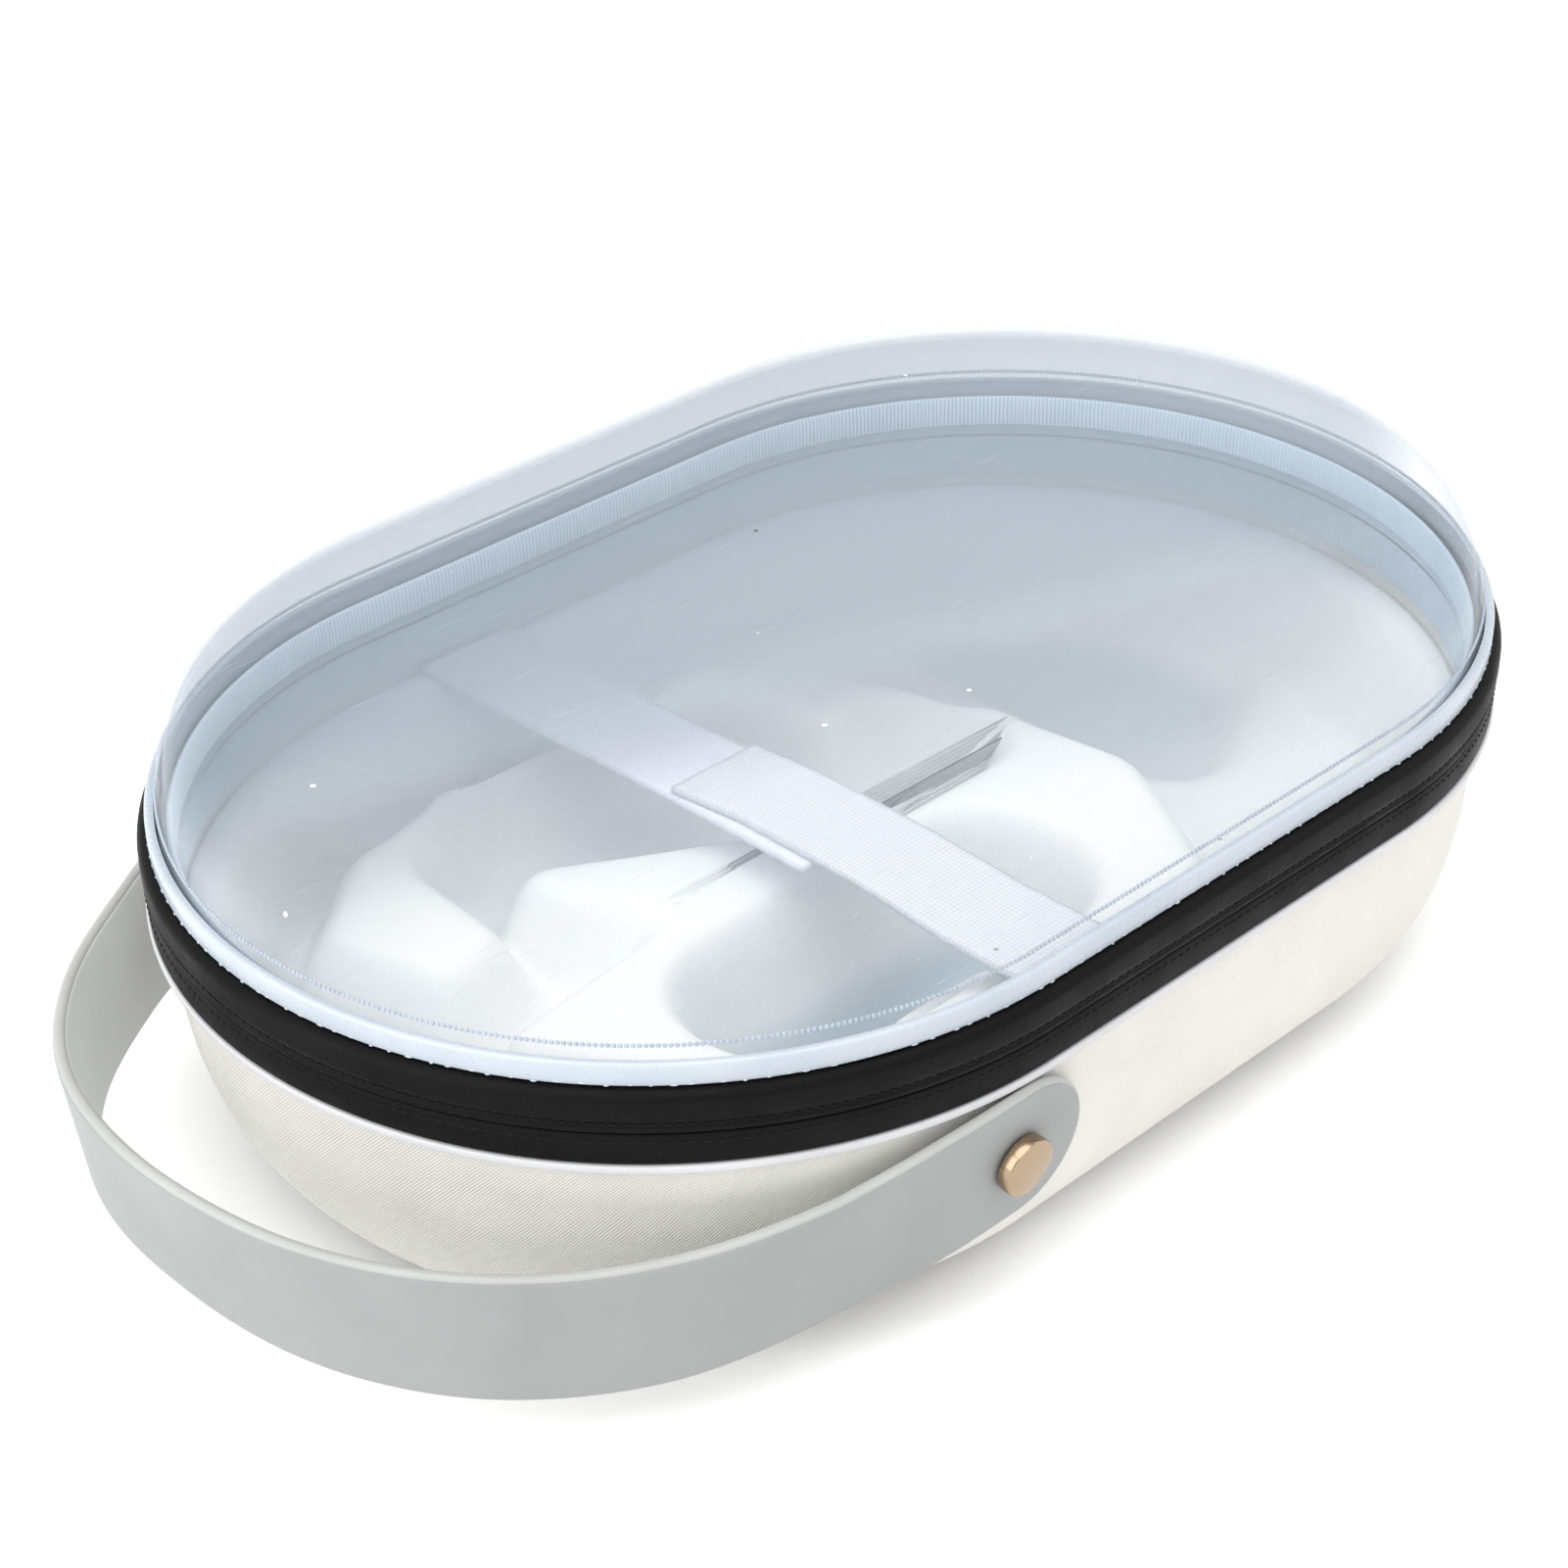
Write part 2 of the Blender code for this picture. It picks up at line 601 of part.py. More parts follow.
def rivet_hole(name, side, cutters):
    """Cutter for the hole that a rivet's post passes through."""
    bm = bmesh.new()
    depth = 2 * (SHELL_WALL + HANDLE_THICK + CAP_HEIGHT)
    bmesh.ops.create_cone(bm, cap_ends=True, segments=RIVET_STEPS, radius1=POST_RADIUS + GAP,
                          radius2=POST_RADIUS + GAP, depth=depth)
    bm.transform(rivet_frame(side))
    return hide_cutter(add_object(f"{name} hole {'far' if side > 0 else 'near'}", bm, cutters))


def make_rivets(group):
    """Cap outside the handle, post through the handle and the shell, flat head inside."""
    gold = make_material("rose_gold", (0.78, 0.55, 0.38), 0.2, metallic=1.0)
    seat = 2 * GAP + HANDLE_THICK
    top = seat + CAP_HEIGHT
    inner = -LEVEL_WALL - wall_fall(RIVET_X - HEAD_RADIUS, RIVET_HEIGHT - HEAD_RADIUS) - GAP
    profile = [(0.0, top), (CAP_RADIUS - CAP_EDGE, top), (CAP_RADIUS, top - CAP_EDGE), (CAP_RADIUS, seat),
               (POST_RADIUS, seat), (POST_RADIUS, inner), (HEAD_RADIUS, inner),
               (HEAD_RADIUS, inner - HEAD_HEIGHT), (0.0, inner - HEAD_HEIGHT)]
    for side, name in ((-1, "rivet_near"), (1, "rivet_far")):
        mesh = bpy.data.meshes.new(name)
        mesh.from_pydata([(radius, 0.0, height) for radius, height in profile],
                         [(i, i + 1) for i in range(len(profile) - 1)], [])
        mesh.materials.append(gold)
        rivet = bpy.data.objects.new(name, mesh)
        group.objects.link(rivet)
        rivet.matrix_world = rivet_frame(side)
        turn = rivet.modifiers.new("turn", "SCREW")
        turn.steps = RIVET_STEPS
        turn.render_steps = RIVET_STEPS
        turn.use_merge_vertices = True
        turn.merge_threshold = SAME_POINT


def make_slider(group, cutters):
    """Zip slider with a plain pull hanging from it, on the hidden long side."""
    metal = make_material("slider_metal", (0.60, 0.60, 0.60), 0.3, metallic=1.0)
    front = END_RADIUS + UPPER_BAND_PROUD + GAP
    bm = bmesh.new()
    bmesh.ops.create_cube(bm, size=1.0)
    bmesh.ops.scale(bm, verts=bm.verts, vec=(SLIDER_LENGTH, SLIDER_DEPTH, SLIDER_HEIGHT))
    bmesh.ops.translate(bm, verts=bm.verts, vec=(SLIDER_X, front + SLIDER_DEPTH / 2, ZIP_HEIGHT))
    slider = add_object("zip_slider", bm, group, metal)
    bm = bmesh.new()
    bmesh.ops.create_cube(bm, size=1.0)
    bmesh.ops.scale(bm, verts=bm.verts, vec=(PULL_WIDTH, PULL_THICK, PULL_LENGTH))
    pull_y = front + SLIDER_DEPTH - PULL_THICK
    bmesh.ops.translate(bm, verts=bm.verts, vec=(SLIDER_X, pull_y, ZIP_HEIGHT - PULL_LENGTH / 2))
    pull = hide_cutter(add_object("pull", bm, cutters))
    boolean(slider, pull, "UNION")
    edge = slider.modifiers.new("edges", "BEVEL")
    edge.width = SLIDER_EDGE
    edge.segments = 1


def main():
    """Build every piece of the case."""
    clear_scene()
    case = new_collection("vr_headset_case")
    cutters = new_collection("cutters")
    make_shell(case, cutters)
    make_bands(case)
    make_lid(case)
    make_tapes(case)
    make_tray(case, cutters)
    make_tie_down(case)
    make_handle(case, cutters)
    make_rivets(case)
    make_slider(case, cutters)


main()
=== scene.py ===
"""Looks of an oval zip-up case for a VR headset: white shell, clear domed lid, strap handle.

Metres, +Z up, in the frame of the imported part: the origin is the centre of the flat base,
+X points away from the handle, and the long sides face -Y (near) and +Y (far).
"""
import logging
import math
import random
from collections.abc import Callable, Sequence
from dataclasses import dataclass
from enum import Enum

import bmesh
import bpy
import numpy as np
from mathutils import Matrix, Vector, noise


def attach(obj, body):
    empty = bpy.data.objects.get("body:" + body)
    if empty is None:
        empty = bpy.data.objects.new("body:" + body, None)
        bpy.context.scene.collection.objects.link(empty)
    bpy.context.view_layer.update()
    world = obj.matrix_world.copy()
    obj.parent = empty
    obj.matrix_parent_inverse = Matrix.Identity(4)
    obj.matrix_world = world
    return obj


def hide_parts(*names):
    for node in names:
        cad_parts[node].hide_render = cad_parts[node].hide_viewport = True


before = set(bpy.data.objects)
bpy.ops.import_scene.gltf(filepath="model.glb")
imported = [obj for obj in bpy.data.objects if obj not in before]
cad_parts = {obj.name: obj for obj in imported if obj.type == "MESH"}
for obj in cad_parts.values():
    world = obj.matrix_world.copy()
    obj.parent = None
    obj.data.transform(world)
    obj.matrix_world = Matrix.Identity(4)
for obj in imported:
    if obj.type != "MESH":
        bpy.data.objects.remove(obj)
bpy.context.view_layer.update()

LOG = logging.getLogger("case")

MM = 0.001
GAP = 0.3 * MM
SAME_POINT = 1e-6
# A wave texture's bands repeat every 2 pi / 20 across, and every 2 pi / 10 on the diagonal.
WAVE_ACROSS = math.tau / 20
WAVE_DIAGONAL = math.tau / 10
# UV maps are in millimetres; round the plan they close on a whole number of these.
UV_CLOSE = 7.0

Profile = Sequence[tuple[float, float]]


class Side(Enum):
    """Long side of the case, as the sign of its Y."""

    NEAR = -1
    FAR = 1


class Weave(Enum):
    """How a cloth's threads cross."""

    PLAIN = "plain"
    TWILL = "twill"
    RIB = "rib"


@dataclass(frozen=True)
class Bands:
    """One set of parallel threads in a weave.

    Attributes:
        direction: Direction of the wave texture's bands.
        spacing: Spacing as a share of the cloth's thread.
        distortion: How far the threads wander.
        grain: Scale of that wandering.
    """

    direction: str
    spacing: float = 1.0
    distortion: float = 0.0
    grain: float = 1.0


# The two sets of threads of each weave, and the second set's share of the relief.
WEAVES: dict[Weave, tuple[tuple[Bands, Bands], float]] = {
    Weave.PLAIN: ((Bands("X", 1.0, 1.2, 0.6), Bands("Y", 1.0, 1.2, 0.6)), 0.5),
    Weave.TWILL: ((Bands("DIAGONAL", 1.0, 0.4, 0.5), Bands("X", 0.5)), 0.25),
    Weave.RIB: ((Bands("X"), Bands("Y", 0.45)), 0.35),
}


def linear(code: str) -> tuple[float, float, float, float]:
    """Turn a colour into what a shader takes.

    Args:
        code: sRGB hex, such as "#E9E8E3".

    Returns:
        Linear red, green, blue and an alpha of 1.
    """
    shares = [int(code[i:i + 2], 16) / 255 for i in (1, 3, 5)]
    bright = [s / 12.92 if s <= 0.04045 else ((s + 0.055) / 1.055) ** 2.4 for s in shares]
    return (*bright, 1.0)


def add_node(tree: bpy.types.NodeTree, kind: str, settings: dict | None = None,
             links: dict | None = None) -> bpy.types.Node:
    """Add a shader node.

    Args:
        tree: Node tree that takes it.
        kind: Blender's name for the node.
        settings: Its own properties, or the values of its sockets by name or number.
        links: The sockets that feed it, by the name or number of its input.

    Returns:
        The new node.
    """
    node = tree.nodes.new(kind)
    for key, value in (settings or {}).items():
        if isinstance(key, str) and hasattr(node, key):
            setattr(node, key, value)
        else:
            node.inputs[key].default_value = value
    for key, source in (links or {}).items():
        tree.links.new(source, node.inputs[key])
    return node


@dataclass(frozen=True)
class Finish:
    """What every finish has.

    Attributes:
        name: Name of the material.
        colour: Main colour, sRGB hex.
        roughness: Roughness of the surface.
        sockets: Shader sockets that are the same all over the surface.
    """

    name: str
    colour: str
    roughness: float
    sockets: tuple[tuple[str, float], ...] = ()

    def start(self) -> tuple[bpy.types.Material, bpy.types.NodeTree, bpy.types.Node]:
        """Make the material with its constant values.

        Returns:
            The material, its node tree and its Principled shader.
        """
        material = bpy.data.materials.new(self.name)
        material.use_nodes = True
        material.diffuse_color = linear(self.colour)
        tree = material.node_tree
        shader = tree.nodes["Principled BSDF"]
        shader.inputs["Base Color"].default_value = linear(self.colour)
        shader.inputs["Roughness"].default_value = self.roughness
        for socket, value in self.sockets:
            shader.inputs[socket].default_value = value
        return material, tree, shader


@dataclass(frozen=True)
class Cloth(Finish):
    """Woven cloth: threads from wave bands on the UV map, a slow mottle of tone and, where asked, painted
    shade low in deep hollows.

    Attributes:
        weave: How the threads cross.
        thread: Spacing of the threads or ribs, mm.
        relief: Height of the threads, mm.
        shade: Colour between the threads, sRGB hex.
        mottle: Size of the slow change of tone, mm.
        depth: How far the colour goes towards the shade between threads, 0 to 1.
        deep: Painted shade: colour the cloth turns towards low in deep hollows, standing in for the little
            light that reaches them, sRGB hex, or None.
        hollow_shade_from: Height above the base where that painted shade starts, mm.
        hollow_shade_to: Height where the painted shade is full, mm.
    """

    weave: Weave = Weave.PLAIN
    thread: float = 0.7
    relief: float = 0.08
    shade: str = "#D8D8D4"
    mottle: float = 18.0
    depth: float = 0.5
    deep: str | None = None
    hollow_shade_from: float = 0.0
    hollow_shade_to: float = 0.0

    def material(self) -> bpy.types.Material:
        """Build the cloth's material."""
        material, tree, shader = self.start()
        coords = add_node(tree, "ShaderNodeTexCoord")
        uv = coords.outputs["UV"]
        bands, share = WEAVES[self.weave]
        waves = []
        for row in bands:
            period = WAVE_DIAGONAL if row.direction == "DIAGONAL" else WAVE_ACROSS
            waves.append(add_node(tree, "ShaderNodeTexWave",
                                  {"bands_direction": row.direction,
                                   "Scale": period / (self.thread * row.spacing),
                                   "Distortion": row.distortion, "Detail": 1.0,
                                   "Detail Scale": row.grain}, {"Vector": uv}))
        threads = add_node(tree, "ShaderNodeMix", {"data_type": "FLOAT", 0: share},
                           {2: waves[0].outputs["Fac"], 3: waves[1].outputs["Fac"]}).outputs[0]
        slow = add_node(tree, "ShaderNodeTexNoise", {"Scale": 1 / (self.mottle * MM), "Detail": 2.0},
                        {"Vector": coords.outputs["Object"]})
        fuzz = add_node(tree, "ShaderNodeTexNoise", {"Scale": 1 / (0.5 * MM), "Detail": 2.0},
                        {"Vector": coords.outputs["Object"]})
        uneven = add_node(tree, "ShaderNodeMath", {"operation": "MULTIPLY_ADD", 1: -0.5, 2: 1.0},
                          {0: slow.outputs["Fac"]})
        between = add_node(tree, "ShaderNodeMath", {"operation": "SUBTRACT", 0: 1.0}, {1: threads})
        dark = add_node(tree, "ShaderNodeMath", {"operation": "MULTIPLY"},
                        {0: between.outputs[0], 1: uneven.outputs[0]})
        amount = add_node(tree, "ShaderNodeMath", {"operation": "MULTIPLY", 1: self.depth},
                          {0: dark.outputs[0]})
        colour = add_node(tree, "ShaderNodeMix",
                          {"data_type": "RGBA", 6: linear(self.colour), 7: linear(self.shade)},
                          {0: amount.outputs[0]})
        height = add_node(tree, "ShaderNodeMath", {"operation": "MULTIPLY_ADD", 1: 0.25},
                          {0: fuzz.outputs["Fac"], 2: threads})
        bump = add_node(tree, "ShaderNodeBump", {"Strength": 0.6, "Distance": self.relief * MM},
                        {"Height": height.outputs[0]})
        # Painted shade: the lower the surface, the more its colour turns towards the deep colour, standing
        # in for the little light at the bottom of hollows.
        if self.deep:
            level = add_node(tree, "ShaderNodeSeparateXYZ", None, {0: coords.outputs["Object"]})
            hollow_shade_amount = add_node(tree, "ShaderNodeMapRange",
                            {"interpolation_type": "SMOOTHSTEP", 1: self.hollow_shade_from * MM,
                             2: self.hollow_shade_to * MM, 3: 0.0, 4: 1.0}, {0: level.outputs["Z"]})
            colour = add_node(tree, "ShaderNodeMix", {"data_type": "RGBA", 7: linear(self.deep)},
                              {0: hollow_shade_amount.outputs[0], 6: colour.outputs[2]})
        tree.links.new(colour.outputs[2], shader.inputs["Base Color"])
        tree.links.new(bump.outputs["Normal"], shader.inputs["Normal"])
        return material


@dataclass(frozen=True)
class Leatherette(Finish):
    """Grained PU leatherette: pebbles from cells, darker in their creases.

    Attributes:
        pebble: Width of a grain, mm.
        relief: Height of a grain, mm.
        shade: Colour of the creases, sRGB hex.
    """

    pebble: float = 0.75
    relief: float = 0.06
    shade: str = "#0C0C0C"

    def material(self) -> bpy.types.Material:
        """Build the leatherette's material."""
        material, tree, shader = self.start()
        coords = add_node(tree, "ShaderNodeTexCoord").outputs["Object"]
        cells = add_node(tree, "ShaderNodeTexVoronoi",
                         {"feature": "SMOOTH_F1", "Scale": 1 / (self.pebble * MM), "Smoothness": 0.6,
                          "Randomness": 1.0}, {"Vector": coords})
        fine = add_node(tree, "ShaderNodeTexNoise", {"Scale": 1 / (0.3 * MM), "Detail": 3.0},
                        {"Vector": coords})
        slow = add_node(tree, "ShaderNodeTexNoise", {"Scale": 1 / (12 * MM), "Detail": 3.0},
                        {"Vector": coords})
        grain = add_node(tree, "ShaderNodeMath", {"operation": "MULTIPLY_ADD", 1: 0.4},
                         {0: fine.outputs["Fac"], 2: cells.outputs["Distance"]})
        crease = add_node(tree, "ShaderNodeMapRange", {1: 0.35, 2: 1.0, 3: 0.0, 4: 1.0},
                          {0: grain.outputs[0]})
        colour = add_node(tree, "ShaderNodeMix",
                          {"data_type": "RGBA", 6: linear(self.colour), 7: linear(self.shade)},
                          {0: crease.outputs[0]})
        rough = add_node(tree, "ShaderNodeMapRange",
                         {1: 0.3, 2: 0.7, 3: self.roughness - 0.07, 4: self.roughness + 0.09},
                         {0: slow.outputs["Fac"]})
        bump = add_node(tree, "ShaderNodeBump",
                        {"Strength": 0.55, "Distance": self.relief * MM, "invert": True},
                        {"Height": grain.outputs[0]})
        tree.links.new(colour.outputs[2], shader.inputs["Base Color"])
        tree.links.new(rough.outputs[0], shader.inputs["Roughness"])
        tree.links.new(bump.outputs["Normal"], shader.inputs["Normal"])
        return material


@dataclass(frozen=True)
class Moulded(Finish):
    """Moulded plastic, rubber or painted edge: a faint texture and slow change of tone.

    Attributes:
        texture: Width of the surface texture, mm.
        relief: Height of the texture, mm.
        shade: Colour of the darker patches, sRGB hex.
        patch: Size of the patches, mm.
    """

    texture: float = 0.4
    relief: float = 0.02
    shade: str = "#C0C0C0"
    patch: float = 25.0

    def material(self) -> bpy.types.Material:
        """Build the plastic's material."""
        material, tree, shader = self.start()
        coords = add_node(tree, "ShaderNodeTexCoord").outputs["Object"]
        slow = add_node(tree, "ShaderNodeTexNoise", {"Scale": 1 / (self.patch * MM), "Detail": 3.0},
                        {"Vector": coords})
        fine = add_node(tree, "ShaderNodeTexNoise", {"Scale": 1 / (self.texture * MM), "Detail": 2.0},
                        {"Vector": coords})
        amount = add_node(tree, "ShaderNodeMapRange", {1: 0.35, 2: 0.75, 3: 0.0, 4: 1.0},
                          {0: slow.outputs["Fac"]})
        colour = add_node(tree, "ShaderNodeMix",
                          {"data_type": "RGBA", 6: linear(self.colour), 7: linear(self.shade)},
                          {0: amount.outputs[0]})
        rough = add_node(tree, "ShaderNodeMapRange",
                         {1: 0.3, 2: 0.7, 3: self.roughness - 0.05, 4: self.roughness + 0.05},
                         {0: fine.outputs["Fac"]})
        bump = add_node(tree, "ShaderNodeBump", {"Strength": 0.5, "Distance": self.relief * MM},
                        {"Height": fine.outputs["Fac"]})
        tree.links.new(colour.outputs[2], shader.inputs["Base Color"])
        tree.links.new(rough.outputs[0], shader.inputs["Roughness"])
        tree.links.new(bump.outputs["Normal"], shader.inputs["Normal"])
        return material


@dataclass(frozen=True)
class ClearPlastic(Finish):
    """Clear blown plastic: seen through straight on, milky at a slant, and made milky in its far wall by a
    painted reflection.

    Attributes:
        face_alpha: How much one surface hides when seen straight on.
        edge_alpha: How much it hides when seen along it.
        far_reflection_alpha: How much each surface of the far and right wall hides, as a painted reflection.
        wall_top: Height below which a wall is steep enough to carry that painted reflection, mm.
        wall_blend: Height over which that starts, mm.
        scratch_turn: Direction of the scratches, degrees.
        glint_dot: Radius of a painted glint, as a share of its cell.
        cell: Size of a painted glint's cell, mm.
    """

    face_alpha: float = 0.03
    edge_alpha: float = 0.45
    far_reflection_alpha: float = 0.50
    wall_top: float = 100.0
    wall_blend: float = 9.0
    scratch_turn: float = 38.0
    glint_dot: float = 0.03
    cell: float = 24.0

    def material(self) -> bpy.types.Material:
        """Build the clear plastic's material."""
        material, tree, shader = self.start()
        coords = add_node(tree, "ShaderNodeTexCoord").outputs["Object"]
        slant = add_node(tree, "ShaderNodeLayerWeight", {"Blend": 0.5}).outputs["Facing"]
        steep = add_node(tree, "ShaderNodeMath", {"operation": "POWER", 1: 2.6}, {0: slant})
        haze = add_node(tree, "ShaderNodeMapRange",
                        {1: 0.0, 2: 1.0, 3: self.face_alpha, 4: self.edge_alpha}, {0: steep.outputs[0]})
        # Painted reflection: towards +Y, and a little towards +X, the wall below wall_top is made milky,
        # standing in for the bright studio it reflects at a slant.
        far = add_node(tree, "ShaderNodeVectorMath", {"operation": "DOT_PRODUCT", 1: (0.35, 1.0, 0.0)},
                       {0: coords}).outputs["Value"]
        far_reflection_mask = add_node(tree, "ShaderNodeMapRange",
                          {"interpolation_type": "SMOOTHSTEP", 1: -12 * MM, 2: 42 * MM, 3: 0.0, 4: 1.0},
                          {0: far})
        level = add_node(tree, "ShaderNodeSeparateXYZ", None, {0: coords}).outputs["Z"]
        wall = add_node(tree, "ShaderNodeMapRange",
                        {"interpolation_type": "SMOOTHSTEP", 1: self.wall_top * MM,
                         2: (self.wall_top - self.wall_blend) * MM, 3: 0.0, 4: self.far_reflection_alpha}, {0: level})
        milky = add_node(tree, "ShaderNodeMath", {"operation": "MULTIPLY"},
                         {0: far_reflection_mask.outputs[0], 1: wall.outputs[0]})
        veil = add_node(tree, "ShaderNodeMath", {"operation": "MAXIMUM"},
                        {0: haze.outputs[0], 1: milky.outputs[0]})
        lie = add_node(tree, "ShaderNodeMapping",
                       {"Rotation": (0.0, 0.0, math.radians(self.scratch_turn)),
                        "Scale": (45.0, 1900.0, 900.0)},
                       {"Vector": coords})
        hair = add_node(tree, "ShaderNodeTexNoise", {"Scale": 1.0, "Detail": 1.0},
                        {"Vector": lie.outputs[0]})
        scratch = add_node(tree, "ShaderNodeMapRange", {1: 0.74, 2: 0.80, 3: 0.0, 4: 0.22},
                           {0: hair.outputs["Fac"]})
        # Painted glints: sparse white dots where a cell's point lies close to the surface.
        cells = add_node(tree, "ShaderNodeTexVoronoi", {"Scale": 1 / (self.cell * MM)},
                         {"Vector": coords})
        glint_dot = add_node(tree, "ShaderNodeMapRange", {1: self.glint_dot, 2: self.glint_dot * 0.6, 3: 0.0, 4: 0.8},
                         {0: cells.outputs["Distance"]})
        # Scuffs are real wear; the dots are painted glints. Both turn the surface white and less clear.
        marks = add_node(tree, "ShaderNodeMath", {"operation": "MAXIMUM"},
                         {0: scratch.outputs[0], 1: glint_dot.outputs[0]})
        alpha = add_node(tree, "ShaderNodeMath", {"operation": "ADD", "use_clamp": True},
                         {0: veil.outputs[0], 1: marks.outputs[0]})
        colour = add_node(tree, "ShaderNodeMix",
                          {"data_type": "RGBA", 6: linear(self.colour), 7: linear("#FFFFFF")},
                          {0: marks.outputs[0]})
        tree.links.new(alpha.outputs[0], shader.inputs["Alpha"])
        tree.links.new(colour.outputs[2], shader.inputs["Base Color"])
        return material


@dataclass(frozen=True)
class PolishedMetal(Finish):
    """Plated or turned metal with faint turning marks.

    Attributes:
        mark: Spacing of the marks, mm.
    """

    mark: float = 0.35

    def material(self) -> bpy.types.Material:
        """Build the metal's material."""
        material, tree, shader = self.start()
        coords = add_node(tree, "ShaderNodeTexCoord").outputs["Object"]
        wear = add_node(tree, "ShaderNodeTexNoise", {"Scale": 1 / (2.5 * MM), "Detail": 4.0},
                        {"Vector": coords})
        fine = add_node(tree, "ShaderNodeTexNoise", {"Scale": 1 / (self.mark * MM), "Detail": 2.0},
                        {"Vector": coords})
        rough = add_node(tree, "ShaderNodeMapRange",
                         {1: 0.3, 2: 0.75, 3: self.roughness * 0.8, 4: self.roughness * 1.35},
                         {0: wear.outputs["Fac"]})
        bump = add_node(tree, "ShaderNodeBump", {"Strength": 0.12, "Distance": 0.02 * MM},
                        {"Height": fine.outputs["Fac"]})
        tree.links.new(rough.outputs[0], shader.inputs["Roughness"])
        tree.links.new(bump.outputs["Normal"], shader.inputs["Normal"])
        return material


# Polyester cloth laminated on EVA foam, woven in a fine twill: matte off-white with thin diagonals.
SHELL_CLOTH = Cloth("shell_polyester_twill", "#EFEEE9", 0.78, (("Sheen Weight", 0.15),),
                    weave=Weave.TWILL, thread=0.8, relief=0.20, shade="#ABAAA2", depth=1.0)
# Cut and painted edge of the laminated shell: smooth pale grey, a little sheen.
LIP_EDGE = Moulded("lip_painted_edge", "#C9C9CB", 0.5, shade="#BCBCBF", relief=0.015)
# PU leatherette piping round the zip: grained black that catches soft light.
BAND_LEATHER = Leatherette("band_pu_leatherette", "#0D0D0D", 0.5, (("Specular IOR Level", 0.09),),
                          relief=0.14)
# Polyester sewing thread, dyed black.
BAND_THREAD = Moulded("band_polyester_thread", "#121212", 0.6, (("Specular IOR Level", 0.15),),
                      shade="#0B0B0B", texture=0.25, relief=0.05, patch=3.0)
# Zip coil of black nylon: small glossy teeth that glint grey in the groove.
ZIP_NYLON = Moulded("zip_nylon_coil", "#3A3A3C", 0.3, shade="#1E1E1E", texture=0.3, relief=0.02, patch=4.0)
# Extruded milky PVC welt: smooth bluish white that lets light into itself.
RIM_PVC = Moulded("rim_milky_pvc", "#B8BFC8", 0.3, (("Coat Weight", 0.1), ("Coat Roughness", 0.12)),
                  shade="#ABB4BF", relief=0.004, texture=1.2)
# Row of small weld beads that fixes the dome to the welt: clear plastic that reads grey-blue.
WELD_BEADS = Moulded("rim_weld_beads", "#AFB8C3", 0.3, shade="#9EA9B6", relief=0.02, texture=0.8, patch=3.0)
# Thermoformed clear PET sheet: glossy, faintly blue, with scuffs from handling and painted glints; a painted
# reflection makes its far wall milky.
DOME_PET = ClearPlastic("dome_clear_pet", "#B9C3CD", 0.09, (("IOR", 1.5), ("Specular IOR Level", 0.6)))
# Polyester grosgrain binding tape, pale blue grey, ribbed across.
TAPE_GROSGRAIN = Cloth("tape_polyester_grosgrain", "#CAD6E1", 0.8, (("Sheen Weight", 0.1),),
                       weave=Weave.RIB, thread=1.0, relief=0.12, shade="#8EA5B9", depth=1.0)
# Brushed tricot over the moulded EVA tray: soft matte white with a fine nap, and grey-blue painted shade low
# in its hollows.
TRAY_TRICOT = Cloth("tray_brushed_tricot", "#EDEEEE", 0.85, (("Sheen Weight", 0.25),),
                    weave=Weave.PLAIN, thread=0.6, relief=0.05, shade="#E0E4E8", mottle=30.0, depth=0.3,
                    deep="#BCC7CF", hollow_shade_from=22.0, hollow_shade_to=8.0)
# Loop side of a nylon hook-and-loop strap: soft plain weave, faintly lavender.
STRAP_LOOP = Cloth("strap_nylon_loop", "#F1F3FB", 0.9, (("Sheen Weight", 0.3),), weave=Weave.PLAIN,
                   thread=1.0, relief=0.2, shade="#CCD2E2", mottle=6.0, depth=0.9)
# Woven back of the half that laps over, whiter than the loops.
STRAP_BACK = Cloth("strap_nylon_back", "#E4E5E8", 0.85, (("Sheen Weight", 0.2),), weave=Weave.PLAIN,
                   thread=1.1, relief=0.2, shade="#B9BEC9", mottle=6.0, depth=0.8)
# Coated microfibre strap: matte cool grey with a skin-fine grain.
HANDLE_FACE = Moulded("handle_pu_face", "#949696", 0.52, shade="#8D8F8F", texture=0.35, relief=0.02)
# Side towards the shell: the same microfibre in a much paler colour, painted light that makes up for the
# light this shaded side misses.
HANDLE_INNER_PAINTED_LIGHT = Moulded("handle_inner_painted_light", "#D2D4D4", 0.6, shade="#CACCCC", texture=0.35, relief=0.03)
# Painted and buffed edge of the strap: smoother and a warmer, lighter grey.
HANDLE_EDGE = Moulded("handle_painted_edge", "#ABACAA", 0.45, shade="#A2A3A1", texture=0.8, relief=0.01)
# Plated zinc rivet in pale rose gold, polished flank and brushed face.
RIVET_GOLD = PolishedMetal("rivet_rose_gold_plate", "#A38E76", 0.2, (("Metallic", 1.0),))
# Die-cast zinc slider with a black nickel plate.
SLIDER_ZINC = PolishedMetal("slider_nickel_zinc", "#8A8A8E", 0.28, (("Metallic", 1.0),))
# Matt white paper floor of a photo studio.
STUDIO_PAPER = Moulded("studio_paper", "#FFFFFF", 0.9, shade="#FBFBFB", texture=2.0, relief=0.0,
                       patch=400.0)


